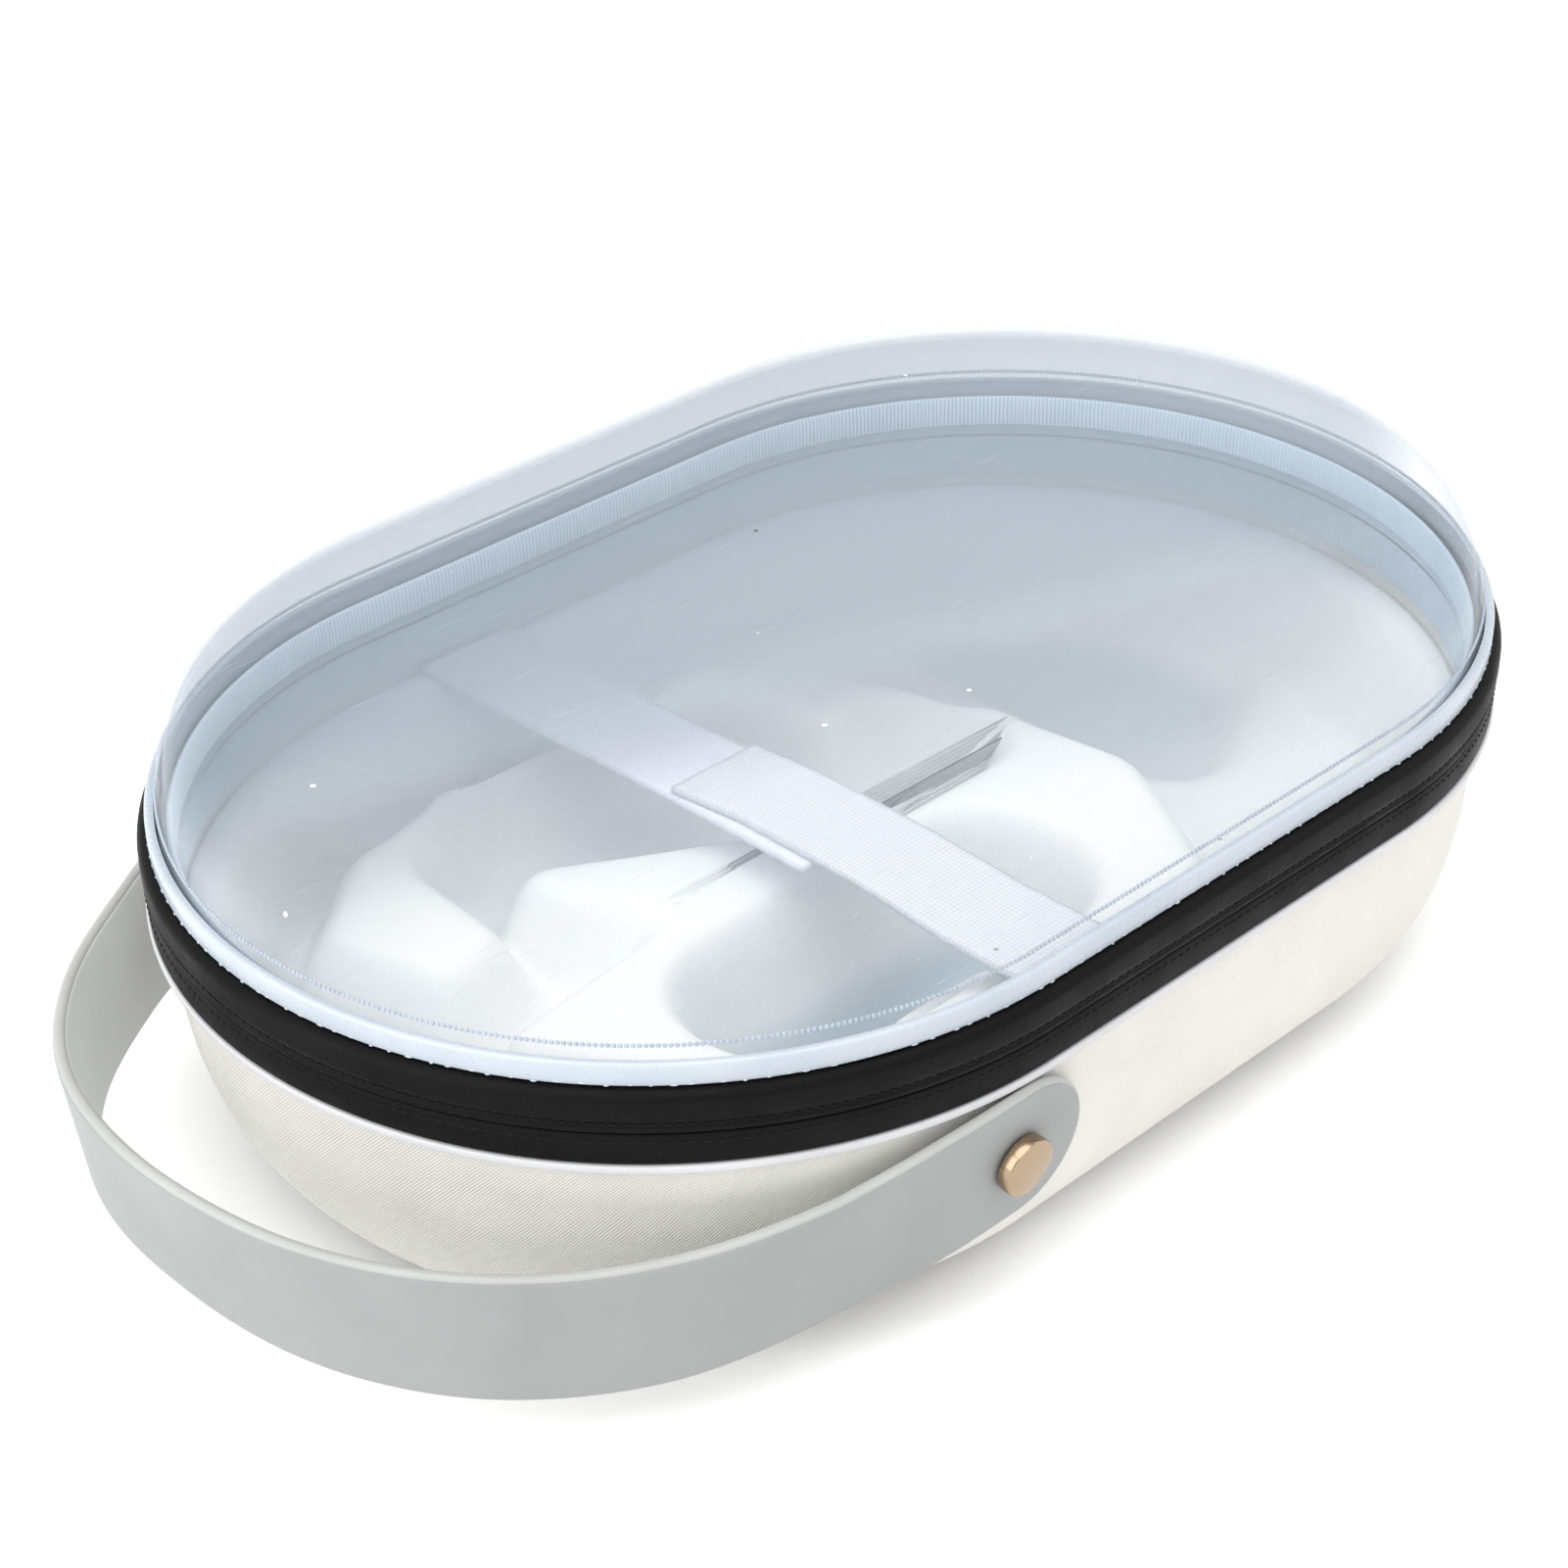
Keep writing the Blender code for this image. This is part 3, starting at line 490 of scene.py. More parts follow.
@dataclass(frozen=True)
class Plan:
    """Stadium plan of the case: two round ends joined by straight sides.

    Attributes:
        half_straight: Half length of the straight sides.
        radius: Radius that distances along the plan are measured at.
        draft_top: Height above which nothing is drawn in at the ends.
        handle_end: Draft of the handle's end, on top of the sides' draft.
        plain_end: The same at the other end.
    """

    half_straight: float = 54 * MM
    radius: float = 105 * MM
    draft_top: float = 57.1 * MM
    handle_end: float = 0.10
    plain_end: float = 0.07

    @property
    def length(self) -> float:
        """Length of the plan once round."""
        return 4 * self.half_straight + math.tau * self.radius

    def spot(self, travel: float, radius: float, height: float) -> tuple[Vector, Vector]:
        """Point at a distance along the plan, and the way out from it.

        Args:
            travel: Distance from the far side's middle.
            radius: Radius of the round ends there.
            height: Height above the base.

        Returns:
            The point and the level unit vector that points outwards.
        """
        a = self.half_straight
        arc = math.pi * self.radius
        travel %= self.length
        if travel < a or travel > 3 * a + 2 * arc:
            x = travel if travel < a else travel - self.length
            return Vector((x, radius, height)), Vector((0, 1, 0))
        if travel < a + arc:
            turn = math.pi / 2 - (travel - a) / self.radius
            out = Vector((math.cos(turn), math.sin(turn), 0))
            return Vector((a, 0, height)) + out * radius, out
        if travel < 3 * a + arc:
            return Vector((2 * a + arc - travel, -radius, height)), Vector((0, -1, 0))
        turn = -math.pi / 2 - (travel - 3 * a - arc) / self.radius
        out = Vector((math.cos(turn), math.sin(turn), 0))
        return Vector((-a, 0, height)) + out * radius, out

    def seat(self, travel: float, radius: float, height: float, size: tuple[float, float, float],
             dip: float = 0.0) -> Matrix:
        """Place of a small part on the plan, turned to face outwards.

        Args:
            travel: Distance from the far side's middle.
            radius: Radius of the round ends there.
            height: Height above the base.
            size: Half sizes outwards, along the plan and upwards.
            dip: How far the part dips along the plan, degrees.

        Returns:
            Place, turn and size of the part.
        """
        middle, out = self.spot(travel, radius, height)
        turn = Matrix.Rotation(math.atan2(out.y, out.x), 4, "Z")
        tilt = Matrix.Rotation(math.radians(dip), 4, "X")
        return Matrix.Translation(middle) @ turn @ tilt @ Matrix.Diagonal((*size, 1.0))

    def ring(self, profile: Profile, steps: int, cuts: int, closed: bool = True,
             drafted: bool = False) -> bmesh.types.BMesh:
        """Spin a profile about Z and draw its halves apart by the straight sides.

        Args:
            profile: Radius and height of each point.
            steps: Steps of the spin.
            cuts: Cuts across each straight side.
            closed: True where the last point joins the first.
            drafted: True where the ends fall in below draft_top, as the shell's do.

        Returns:
            The mesh, with a UV map in millimetres along the plan and along the profile.
        """
        bm = bmesh.new()
        layer = bm.verts.layers.float.new("run")
        run = 0.0
        verts = []
        for i, (radius, height) in enumerate(profile):
            if i:
                run += math.dist(profile[i - 1], profile[i])
            vert = bm.verts.new((radius, 0.0, height))
            vert[layer] = run
            verts.append(vert)
        pairs = list(zip(verts, verts[1:])) + ([(verts[-1], verts[0])] if closed else [])
        edges = [bm.edges.new(pair) for pair in pairs]
        half_step = Matrix.Rotation(math.pi / steps, 3, "Z")
        bmesh.ops.rotate(bm, verts=verts, matrix=half_step)
        bmesh.ops.spin(bm, geom=verts + edges, axis=(0, 0, 1), angle=math.tau, steps=steps,
                       use_merge=True)
        bmesh.ops.remove_doubles(bm, verts=bm.verts, dist=SAME_POINT)
        self._unwrap(bm, layer)
        for vert in bm.verts:
            if abs(vert.co.x) < SAME_POINT:
                continue
            fall = max(self.draft_top - vert.co.z, 0.0) if drafted else 0.0
            draft = self.plain_end if vert.co.x > 0 else self.handle_end
            vert.co.x += math.copysign(self.half_straight - draft * fall, vert.co.x)
        bmesh.ops.recalc_face_normals(bm, faces=bm.faces)
        if cuts:
            straight = [edge for edge in bm.edges
                        if edge.verts[0].co.x * edge.verts[1].co.x < -SAME_POINT ** 2]
            bmesh.ops.subdivide_edges(bm, edges=straight, cuts=cuts)
        return bm

    def _unwrap(self, bm: bmesh.types.BMesh, layer: bmesh.types.BMLayerItem) -> None:
        """Write the UV map of a ring that is still round.

        Args:
            bm: The ring's mesh.
            layer: Vertex layer with the distance along the profile.
        """
        uv = bm.loops.layers.uv.new("UVMap")
        scale = UV_CLOSE * round(self.length / MM / UV_CLOSE) / self.length
        arc = math.pi * self.radius
        a = self.half_straight
        for face in bm.faces:
            spots = []
            for loop in face.loops:
                x, y = loop.vert.co.xy
                if math.hypot(x, y) < SAME_POINT:
                    spots.append(None)
                elif x > 0:
                    spots.append(a + (math.pi / 2 - math.atan2(y, x)) * self.radius)
                else:
                    spots.append(3 * a + arc + math.atan2(-x, -y) * self.radius)
            known = [s for s in spots if s is not None]
            wrap = max(known) - min(known) > self.length / 2
            if wrap:
                spots = [s + self.length if s is not None and s < self.length / 2 else s for s in spots]
                known = [s for s in spots if s is not None]
            middle = sum(known) / len(known)
            for loop, s in zip(face.loops, spots):
                along = middle if s is None else s
                loop[uv].uv = (along * scale, loop.vert[layer] / MM)


PLAN = Plan()


def arc_points(centre: tuple[float, float], radius: float, start: float, end: float,
               steps: int) -> list[tuple[float, float]]:
    """Points of an arc in a profile.

    Args:
        centre: Radius and height of its centre.
        radius: Its radius.
        start: First angle in degrees, 0 outwards and 90 up.
        end: Last angle in degrees.
        steps: Steps between them.

    Returns:
        The points, from start to end.
    """
    points = []
    for i in range(steps + 1):
        turn = math.radians(start + (end - start) * i / steps)
        points.append((centre[0] + radius * math.cos(turn), centre[1] + radius * math.sin(turn)))
    return points


def offset_line(line: Profile, wall: float) -> list[tuple[float, float]]:
    """Move an open profile line to its left by a wall.

    Args:
        line: Points of the line; an end on the axis stays on it.
        wall: How far it moves.

    Returns:
        The moved points, in the same order.
    """
    moved = []
    points = [Vector(p) for p in line]
    for i, point in enumerate(points):
        before = (point - points[i - 1]).normalized() if i else None
        after = (points[i + 1] - point).normalized() if i + 1 < len(points) else None
        along = ((before or after) + (after or before)).normalized()
        reach = wall / max(along.dot(after or before), 0.5)
        place = point + Vector((-along.y, along.x)) * reach
        moved.append((0.0 if point.x < SAME_POINT else place.x, place.y))
    return moved


def add_piece(name: str, bm: bmesh.types.BMesh, materials: Sequence[bpy.types.Material],
              nodes: Sequence[str] = (), sharp: float = 40.0) -> bpy.types.Object:
    """Turn a bmesh into a piece of the case.

    Args:
        name: Name of the piece.
        bm: Its mesh, in the frame's own metres; it is freed.
        materials: Its materials, in the order of the faces' material numbers.
        nodes: CAD nodes that the piece stands for.
        sharp: Edges steeper than this many degrees shade sharp.

    Returns:
        The piece, riding on the case's one body.
    """
    mesh = bpy.data.meshes.new(name)
    bm.to_mesh(mesh)
    bm.free()
    piece = bpy.data.objects.new(name, mesh)
    bpy.context.scene.collection.objects.link(piece)
    for material in materials:
        mesh.materials.append(material)
    mesh.shade_smooth()
    mesh.set_sharp_from_angle(angle=math.radians(sharp))
    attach(piece, "root")
    if nodes:
        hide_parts(*nodes)
    LOG.info("%s: %d faces", name, len(mesh.polygons))
    return piece


def strew(segments: tuple[int, int], places: Sequence[Matrix]) -> bmesh.types.BMesh:
    """Copy one small ball to many places.

    Args:
        segments: The ball's faces round and up.
        places: Place, turn and size of each copy.

    Returns:
        The mesh of all the copies.
    """
    seed = bmesh.new()
    bmesh.ops.create_uvsphere(seed, u_segments=segments[0], v_segments=segments[1], radius=1.0)
    ball = bpy.data.meshes.new("ball")
    seed.to_mesh(ball)
    seed.free()
    bm = bmesh.new()
    for place in places:
        copy = ball.copy()
        copy.transform(place)
        bm.from_mesh(copy)
        bpy.data.meshes.remove(copy)
    bpy.data.meshes.remove(ball)
    return bm


def bend_grid(bm: bmesh.types.BMesh, columns: int, rows: int, place: Callable[[int, int], Vector],
              measure: Callable[[int, int], tuple[float, float]], paint: Callable[[int], int] | None = None,
              ) -> None:
    """Add a grid and bend it to a shape.

    Args:
        bm: Mesh that takes the grid.
        columns: Faces along its first direction.
        rows: Faces along its second direction.
        place: Gives the point for a column and row number.
        measure: Gives the UV in millimetres for a column and row number.
        paint: Gives the material number of a row's faces.
    """
    uv = bm.loops.layers.uv.verify()
    made = bmesh.ops.create_grid(bm, x_segments=columns, y_segments=rows, size=0.5)["verts"]
    index = {vert: (round((vert.co.x + 0.5) * columns), round((vert.co.y + 0.5) * rows)) for vert in made}
    faces = {face for vert in made for face in vert.link_faces}
    for face in faces:
        for loop in face.loops:
            loop[uv].uv = measure(*index[loop.vert])
        if paint:
            face.material_index = paint(min(index[vert][1] for vert in face.verts))
    for vert, (i, j) in index.items():
        vert.co = place(i, j)


@dataclass
class Shell:
    """Moulded lower shell with its cloth face and the pale lip along its edge."""

    top: float = 57.1 * MM
    radius: float = 105 * MM
    side_draft: float = 0.10
    corner_height: float = 46 * MM
    corner_width: float = 42 * MM
    corner_power: float = 2.8
    wall: float = 3.4 * MM
    lip_low: float = 57.0 * MM
    lip_high: float = 58.7 * MM
    lip_in: float = 101.53 * MM
    lip_out: float = 107.0 * MM
    steps: int = 200
    corner_steps: int = 36

    def surface_radius(self, height: float) -> float:
        """Outer radius of the shell's round ends at a height."""
        inset = self.side_draft * max(self.top - max(height, self.corner_height), 0.0)
        if height < self.corner_height:
            share = (self.corner_height - height) / self.corner_height
            power = self.corner_power
            inset += self.corner_width * (1.0 - (1.0 - share ** power) ** (1.0 / power))
        return self.radius - inset

    def outer_line(self) -> list[tuple[float, float]]:
        """Outer profile from the middle of the base up to the top edge."""
        line = [(0.0, 0.0), (30 * MM, 0.0)]
        straight = self.surface_radius(self.corner_height)
        for i in range(self.corner_steps + 1):
            turn = 0.5 * math.pi * (1.0 - i / self.corner_steps)
            height = self.corner_height * (1.0 - math.sin(turn) ** (2.0 / self.corner_power))
            inset = self.corner_width * (1.0 - math.cos(turn) ** (2.0 / self.corner_power))
            line.append((straight - inset, height))
        line.append((self.surface_radius(0.5 * (self.corner_height + self.top)),
                     0.5 * (self.corner_height + self.top)))
        line.append((self.radius, self.top))
        return line

    def build(self) -> None:
        """Build the shell and its lip."""
        outer = self.outer_line()
        inner = offset_line(outer, self.wall)
        inner[-1] = (inner[-1][0], self.top)
        inner = [p for p in inner if p[1] <= self.top]
        bm = PLAN.ring(outer + inner[::-1], self.steps, 24, closed=False, drafted=True)
        add_piece("shell_body", bm, [SHELL_CLOTH.material()], ["base_shell"], sharp=50)
        bend = 0.45 * MM
        lip = [(self.lip_in, self.lip_low)]
        lip += arc_points((self.lip_out - bend, self.lip_low + bend), bend, -90, 0, 4)
        lip += arc_points((self.lip_out - bend, self.lip_high - bend), bend, 0, 90, 4)
        lip += [(self.lip_in, self.lip_high)]
        bm = PLAN.ring(lip, self.steps, 24)
        add_piece("shell_edge", bm, [LIP_EDGE.material()], ["shell_lip"], sharp=50)


@dataclass
class ZipBand:
    """Two black leatherette bands with the zip between them, stitches and the cloth hinge."""

    lower_low: float = 58.85 * MM
    lower_high: float = 65.85 * MM
    lower_in: float = 101.53 * MM
    lower_out: float = 106.7 * MM
    upper_low: float = 66.15 * MM
    upper_high: float = 75.0 * MM
    upper_in: float = 103.03 * MM
    upper_out: float = 107.1 * MM
    stitch_height: float = 68.2 * MM
    low_stitch_height: float = 64.1 * MM
    stitch_pitch: float = 2.3 * MM
    tooth_pitch: float = 1.7 * MM
    hinge_start: float = -52 * MM
    hinge_end: float = 46 * MM
    steps: int = 220

    def lower_line(self) -> list[tuple[float, float]]:
        """Closed profile of the lower band, slightly crowned."""
        out = self.lower_out
        line = [(self.lower_in, self.lower_low)]
        line += arc_points((out - 0.7 * MM, self.lower_low + 0.7 * MM), 0.6 * MM, -90, -10, 5)
        line += [(out, 0.5 * (self.lower_low + self.lower_high))]
        line += arc_points((out - 0.6 * MM, self.lower_high - 0.5 * MM), 0.5 * MM, 10, 90, 4)
        line += [(self.lower_in, self.lower_high)]
        return line

    def upper_line(self) -> list[tuple[float, float]]:
        """Closed profile of the upper band: a channel for the stitches and a rolled top."""
        out = self.upper_out
        low = self.upper_low
        seam = self.stitch_height
        line = [(self.upper_in, low)]
        line += arc_points((out - 0.75 * MM, low + 0.5 * MM), 0.5 * MM, -90, 0, 4)
        line += [(out - 0.15 * MM, seam - 0.7 * MM), (out - 0.38 * MM, seam - 0.35 * MM),
                 (out - 0.42 * MM, seam), (out - 0.36 * MM, seam + 0.35 * MM),
                 (out - 0.1 * MM, seam + 0.8 * MM), (out, seam + 1.8 * MM), (out, seam + 3.0 * MM)]
        roll = 2.4 * MM
        line += arc_points((out - roll, self.upper_high - roll), roll, 8, 90, 9)
        line += [(self.upper_in, self.upper_high)]
        return line

    def stitches(self) -> bmesh.types.BMesh:
        """One short thread after another, in a row above and a row below the zip."""
        places = []
        count = round(PLAN.length / self.stitch_pitch)
        size = (0.26 * MM, 0.80 * MM, 0.24 * MM)
        for radius, height in ((self.upper_out - 0.36 * MM, self.stitch_height),
                               (self.lower_out - 0.05 * MM, self.low_stitch_height)):
            places += [PLAN.seat(i * PLAN.length / count, radius, height, size, -4) for i in range(count)]
        return strew((8, 5), places)

    def teeth(self) -> bmesh.types.BMesh:
        """Coil teeth of the closed zip, deep in the groove."""
        count = round(PLAN.length / self.tooth_pitch)
        height = 0.5 * (self.lower_high + self.upper_low)
        size = (0.5 * MM, 0.45 * MM, 0.14 * MM)
        return strew((6, 4), [PLAN.seat(i * PLAN.length / count, self.lower_out - 0.85 * MM, height, size)
                              for i in range(count)])

    def hinge(self) -> bmesh.types.BMesh:
        """Cloth strip sewn over the zip line on the far side, where the lid hinges."""
        bm = bmesh.new()
        low = 60.2 * MM
        high = 72.4 * MM
        columns, rows = 60, 12

        def place(i: int, j: int) -> Vector:
            """Point of the strip, rounded over at its borders."""
            x = self.hinge_start + (self.hinge_end - self.hinge_start) * i / columns
            height = low + (high - low) * j / rows
            edge = min(i / columns, 1 - i / columns) * (self.hinge_end - self.hinge_start)
            rim = min(edge, (high - low) * min(j / rows, 1 - j / rows))
            proud = 0.65 * MM * min(rim / (1.2 * MM), 1.0) ** 0.5
            return Vector((x, self.upper_out + 0.12 * MM + proud, height))

        def measure(i: int, j: int) -> tuple[float, float]:
            """UV of the strip in millimetres."""
            return ((self.hinge_end - self.hinge_start) / MM * i / columns, (high - low) / MM * j / rows)

        bend_grid(bm, columns, rows, place, measure)
        for face in bm.faces:
            if face.normal.y < 0:
                face.normal_flip()
        return bm

    def build(self) -> None:
        """Build the bands, their stitches, the zip and the hinge."""
        leather = BAND_LEATHER.material()
        bm = PLAN.ring(self.lower_line(), self.steps, 24)
        add_piece("band_lower_leather", bm, [leather], ["lower_band"], sharp=60)
        bm = PLAN.ring(self.upper_line(), self.steps, 24)
        add_piece("band_upper_leather", bm, [leather], ["upper_band"], sharp=60)
        add_piece("band_stitches", self.stitches(), [BAND_THREAD.material()])
        add_piece("zip_teeth", self.teeth(), [ZIP_NYLON.material()])
        strip = add_piece("hinge_cloth", self.hinge(), [leather], sharp=80)
        wall = strip.modifiers.new("wall", "SOLIDIFY")
        wall.thickness = 0.1 * MM
        wall.offset = -1.0


@dataclass
class Lid:
    """Clear dome, the milky welt round its foot and the small weld marks under the welt."""

    low: float = 69.3 * MM
    flange_radius: float = 102.73 * MM
    wall: float = 1.2 * MM
    shoulder: float = 17.8 * MM
    top: float = 103.2 * MM
    draft: float = 0.15
    rim_low: float = 75.3 * MM
    rim_high: float = 80.1 * MM
    rim_in: float = 103.03 * MM
    rim_out: float = 104.93 * MM
    weld_pitch: float = 4.1 * MM
    bead_pitch: float = 1.15 * MM
    bead_height: float = 82.5 * MM
    steps: int = 240

    def dome_line(self) -> list[tuple[float, float]]:
        """Outer profile of the dome from its flange up to the middle of its top."""
        lean = math.atan(self.draft)
        centre_z = self.top - self.shoulder
        start_z = centre_z + self.shoulder * math.sin(lean)
        start_r = self.flange_radius - self.draft * (start_z - self.rim_high)
        centre_r = start_r - self.shoulder * math.cos(lean)
        line = [(self.flange_radius, self.low), (self.flange_radius, self.rim_high - 1.0 * MM)]
        line += arc_points((self.flange_radius - 3 * MM, self.rim_high - 1.0 * MM), 3 * MM, 2,
                           math.degrees(lean), 3)
        line += arc_points((centre_r, centre_z), self.shoulder, math.degrees(lean), 90, 30)
        line += [(30 * MM, self.top), (0.0, self.top)]
        return line

    def rim_line(self) -> list[tuple[float, float]]:
        """Closed profile of the welt, round on top and fuller at its foot."""
        out, low, high = self.rim_out, self.rim_low, self.rim_high
        line = [(self.rim_in, low)]
        line += arc_points((out - 0.5 * MM, low + 0.5 * MM), 0.5 * MM, -90, 0, 4)
        line += arc_points((out - 0.85 * MM, high - 0.85 * MM), 0.85 * MM, 0, 90, 6)
        line += [(out - 1.3 * MM, high - 0.1 * MM), (self.rim_in, high - 0.25 * MM)]
        return line

    def welds(self) -> bmesh.types.BMesh:
        """Small drops of clear glue along the foot of the welt."""
        places = []
        chance = random.Random(7)
        count = round(PLAN.length / self.weld_pitch)
        for i in range(count):
            travel = (i + chance.uniform(-0.22, 0.22)) * PLAN.length / count
            height = self.rim_low + chance.uniform(0.1, 0.5) * MM
            long = chance.uniform(0.3, 0.8) * MM
            size = (0.2 * MM, long, chance.uniform(0.12, 0.22) * MM)
            places.append(PLAN.seat(travel, self.rim_out - 0.05 * MM, height, size))
        return strew((8, 5), places)

    def beads(self) -> bmesh.types.BMesh:
        """Row of weld beads on the dome, just above the welt."""
        count = round(PLAN.length / self.bead_pitch)
        radius = self.flange_radius - self.draft * (self.bead_height - self.rim_high)
        size = (0.35 * MM, 0.5 * MM, 0.55 * MM)
        return strew((6, 4), [PLAN.seat(i * PLAN.length / count, radius, self.bead_height, size)
                              for i in range(count)])

    def build(self) -> None:
        """Build the dome, welt and weld marks."""
        outer = self.dome_line()
        inner = offset_line(outer, self.wall)
        inner[0] = (inner[0][0], self.low)
        bm = PLAN.ring(outer + inner[::-1], self.steps, 16, closed=False)
        uv_close_foot(bm, self.low)
        add_piece("dome_clear", bm, [DOME_PET.material()], ["lid_dome"], sharp=35)
        bm = PLAN.ring(self.rim_line(), self.steps, 16)
        milky = RIM_PVC.material()
        add_piece("rim_welt", bm, [milky], ["lid_rim"], sharp=60)
        add_piece("rim_welds", self.welds(), [milky])
        add_piece("rim_beads", self.beads(), [WELD_BEADS.material()])


def uv_close_foot(bm: bmesh.types.BMesh, low: float) -> None:
    """Bridge a wall's two lower edges, which also spans the plan between them with a sheet.

    Args:
        bm: Mesh of a wall whose two lower edges are open.
        low: Height of those edges.
    """
    open_edges = [edge for edge in bm.edges if edge.is_boundary]
    at_foot = [edge for edge in open_edges if all(abs(vert.co.z - low) < GAP for vert in edge.verts)]
    if at_foot:
        bmesh.ops.bridge_loops(bm, edges=at_foot)
    bmesh.ops.recalc_face_normals(bm, faces=bm.faces)


@dataclass
class Tapes:
    """Ribbed binding tapes on the inner edges of the lid and the base."""

    inner: float = 99.47 * MM
    outer: float = 100.87 * MM
    lid_low: float = 66.3 * MM
    base_low: float = 55.3 * MM
    height: float = 10.4 * MM
    rib_pitch: float = 1.05 * MM
    rib_depth: float = 0.26 * MM
    joint_at: float = -45 * MM
    joint_length: float = 14 * MM
    columns_per_rib: int = 4

    def profile(self, low: float) -> list[tuple[float, float]]:
        """Closed profile of a tape, rolled over at both of its edges."""
        high = low + self.height
        bend = 0.65 * MM
        line = arc_points((self.outer - bend, low + bend), bend, 0, -90, 3)
        swell = 0.4 * MM
        line += arc_points((self.inner + swell + bend, low + bend), bend, -90, -180, 4)
        line += [(self.inner + swell * (2 * share - 1) ** 2, low + self.height * share)
                 for share in (0.2, 0.35, 0.5, 0.65, 0.8)]
        line += arc_points((self.inner + swell + bend, high - bend), bend, 180, 90, 4)
        line += arc_points((self.outer - bend, high - bend), bend, 90, 0, 3)
        return line

    def ribbed(self, low: float, joint: bool) -> bmesh.types.BMesh:
        """One tape with its ribs, and where asked the step where its end laps over.

        Args:
            low: Height of its lower edge.
            joint: True where its end laps over its start in view.

        Returns:
            The tape's mesh.
        """
        ribs = round(PLAN.length / self.rib_pitch)
        columns = ribs * self.columns_per_rib
        section = self.profile(low)
        section = section + section[:1]
        runs = [0.0]
        for a, b in zip(section, section[1:]):
            runs.append(runs[-1] + math.dist(a, b))
        back = self.outer - 0.3 * MM

        def place(i: int, j: int) -> Vector:
            """Point of the tape, pushed out on a rib and in between two."""
            travel = PLAN.length * i / columns
            radius, height = section[j]
            point, out = PLAN.spot(travel, radius, height)
            if radius > back:
                return point
            wave = math.sin(math.tau * i / self.columns_per_rib + 0.6)
            wander = noise.noise(Vector((point.x * 60, point.y * 60, height * 90)))
            push = self.rib_depth * 0.5 * (wave - 1.0) - 0.12 * MM * wander
            past = point.x - self.joint_at
            if joint and point.y > 0 and 0.0 < past < self.joint_length:
                push -= 0.55 * MM * min(past / (0.5 * MM), 1.0) * (1.0 - past / self.joint_length)
            return point + out * push

        def measure(i: int, j: int) -> tuple[float, float]:
            """UV of the tape in millimetres, a whole number of ribs round the plan."""
            return (i / self.columns_per_rib, runs[j] / MM)

        bm = bmesh.new()
        bend_grid(bm, columns, len(section) - 1, place, measure)
        bmesh.ops.remove_doubles(bm, verts=bm.verts, dist=SAME_POINT)
        bmesh.ops.recalc_face_normals(bm, faces=bm.faces)
        return bm

    def build(self) -> None:
        """Build both tapes."""
        cloth = TAPE_GROSGRAIN.material()
        for name, low, node, joint in (("tape_lid", self.lid_low, "lid_binding", False),
                                       ("tape_base", self.base_low, "base_binding", True)):
            add_piece(name, self.ribbed(low, joint), [cloth], [node], sharp=75)


@dataclass(frozen=True)
class TrayForm:
    """A raised or sunk form of the tray: the outline round a few circles.

    Attributes:
        circles: Middle and radius of each circle, mm.
        level: Height of the form's face, mm.
        edge: Width over which its edge rolls, mm.
    """

    circles: tuple[tuple[float, float, float], ...]
    level: float
    edge: float = 12.0

    def share(self, x: np.ndarray, y: np.ndarray) -> np.ndarray:
        """How far inside the form points are.

        Args:
            x: Places along the case, mm.
            y: Places across it, mm.

        Returns:
            0 well outside, 1 well inside, and a smooth step across the edge.
        """
        far = np.full(x.shape, -1e9)
        for turn in np.linspace(0, math.tau, 96, endpoint=False):
            c, s = math.cos(turn), math.sin(turn)
            reach = max(c * a + s * b + r for a, b, r in self.circles)
            far = np.maximum(far, c * x + s * y - reach)
        t = np.clip(0.5 - far / self.edge, 0, 1)
        return t * t * t * (t * (6 * t - 15) + 10)


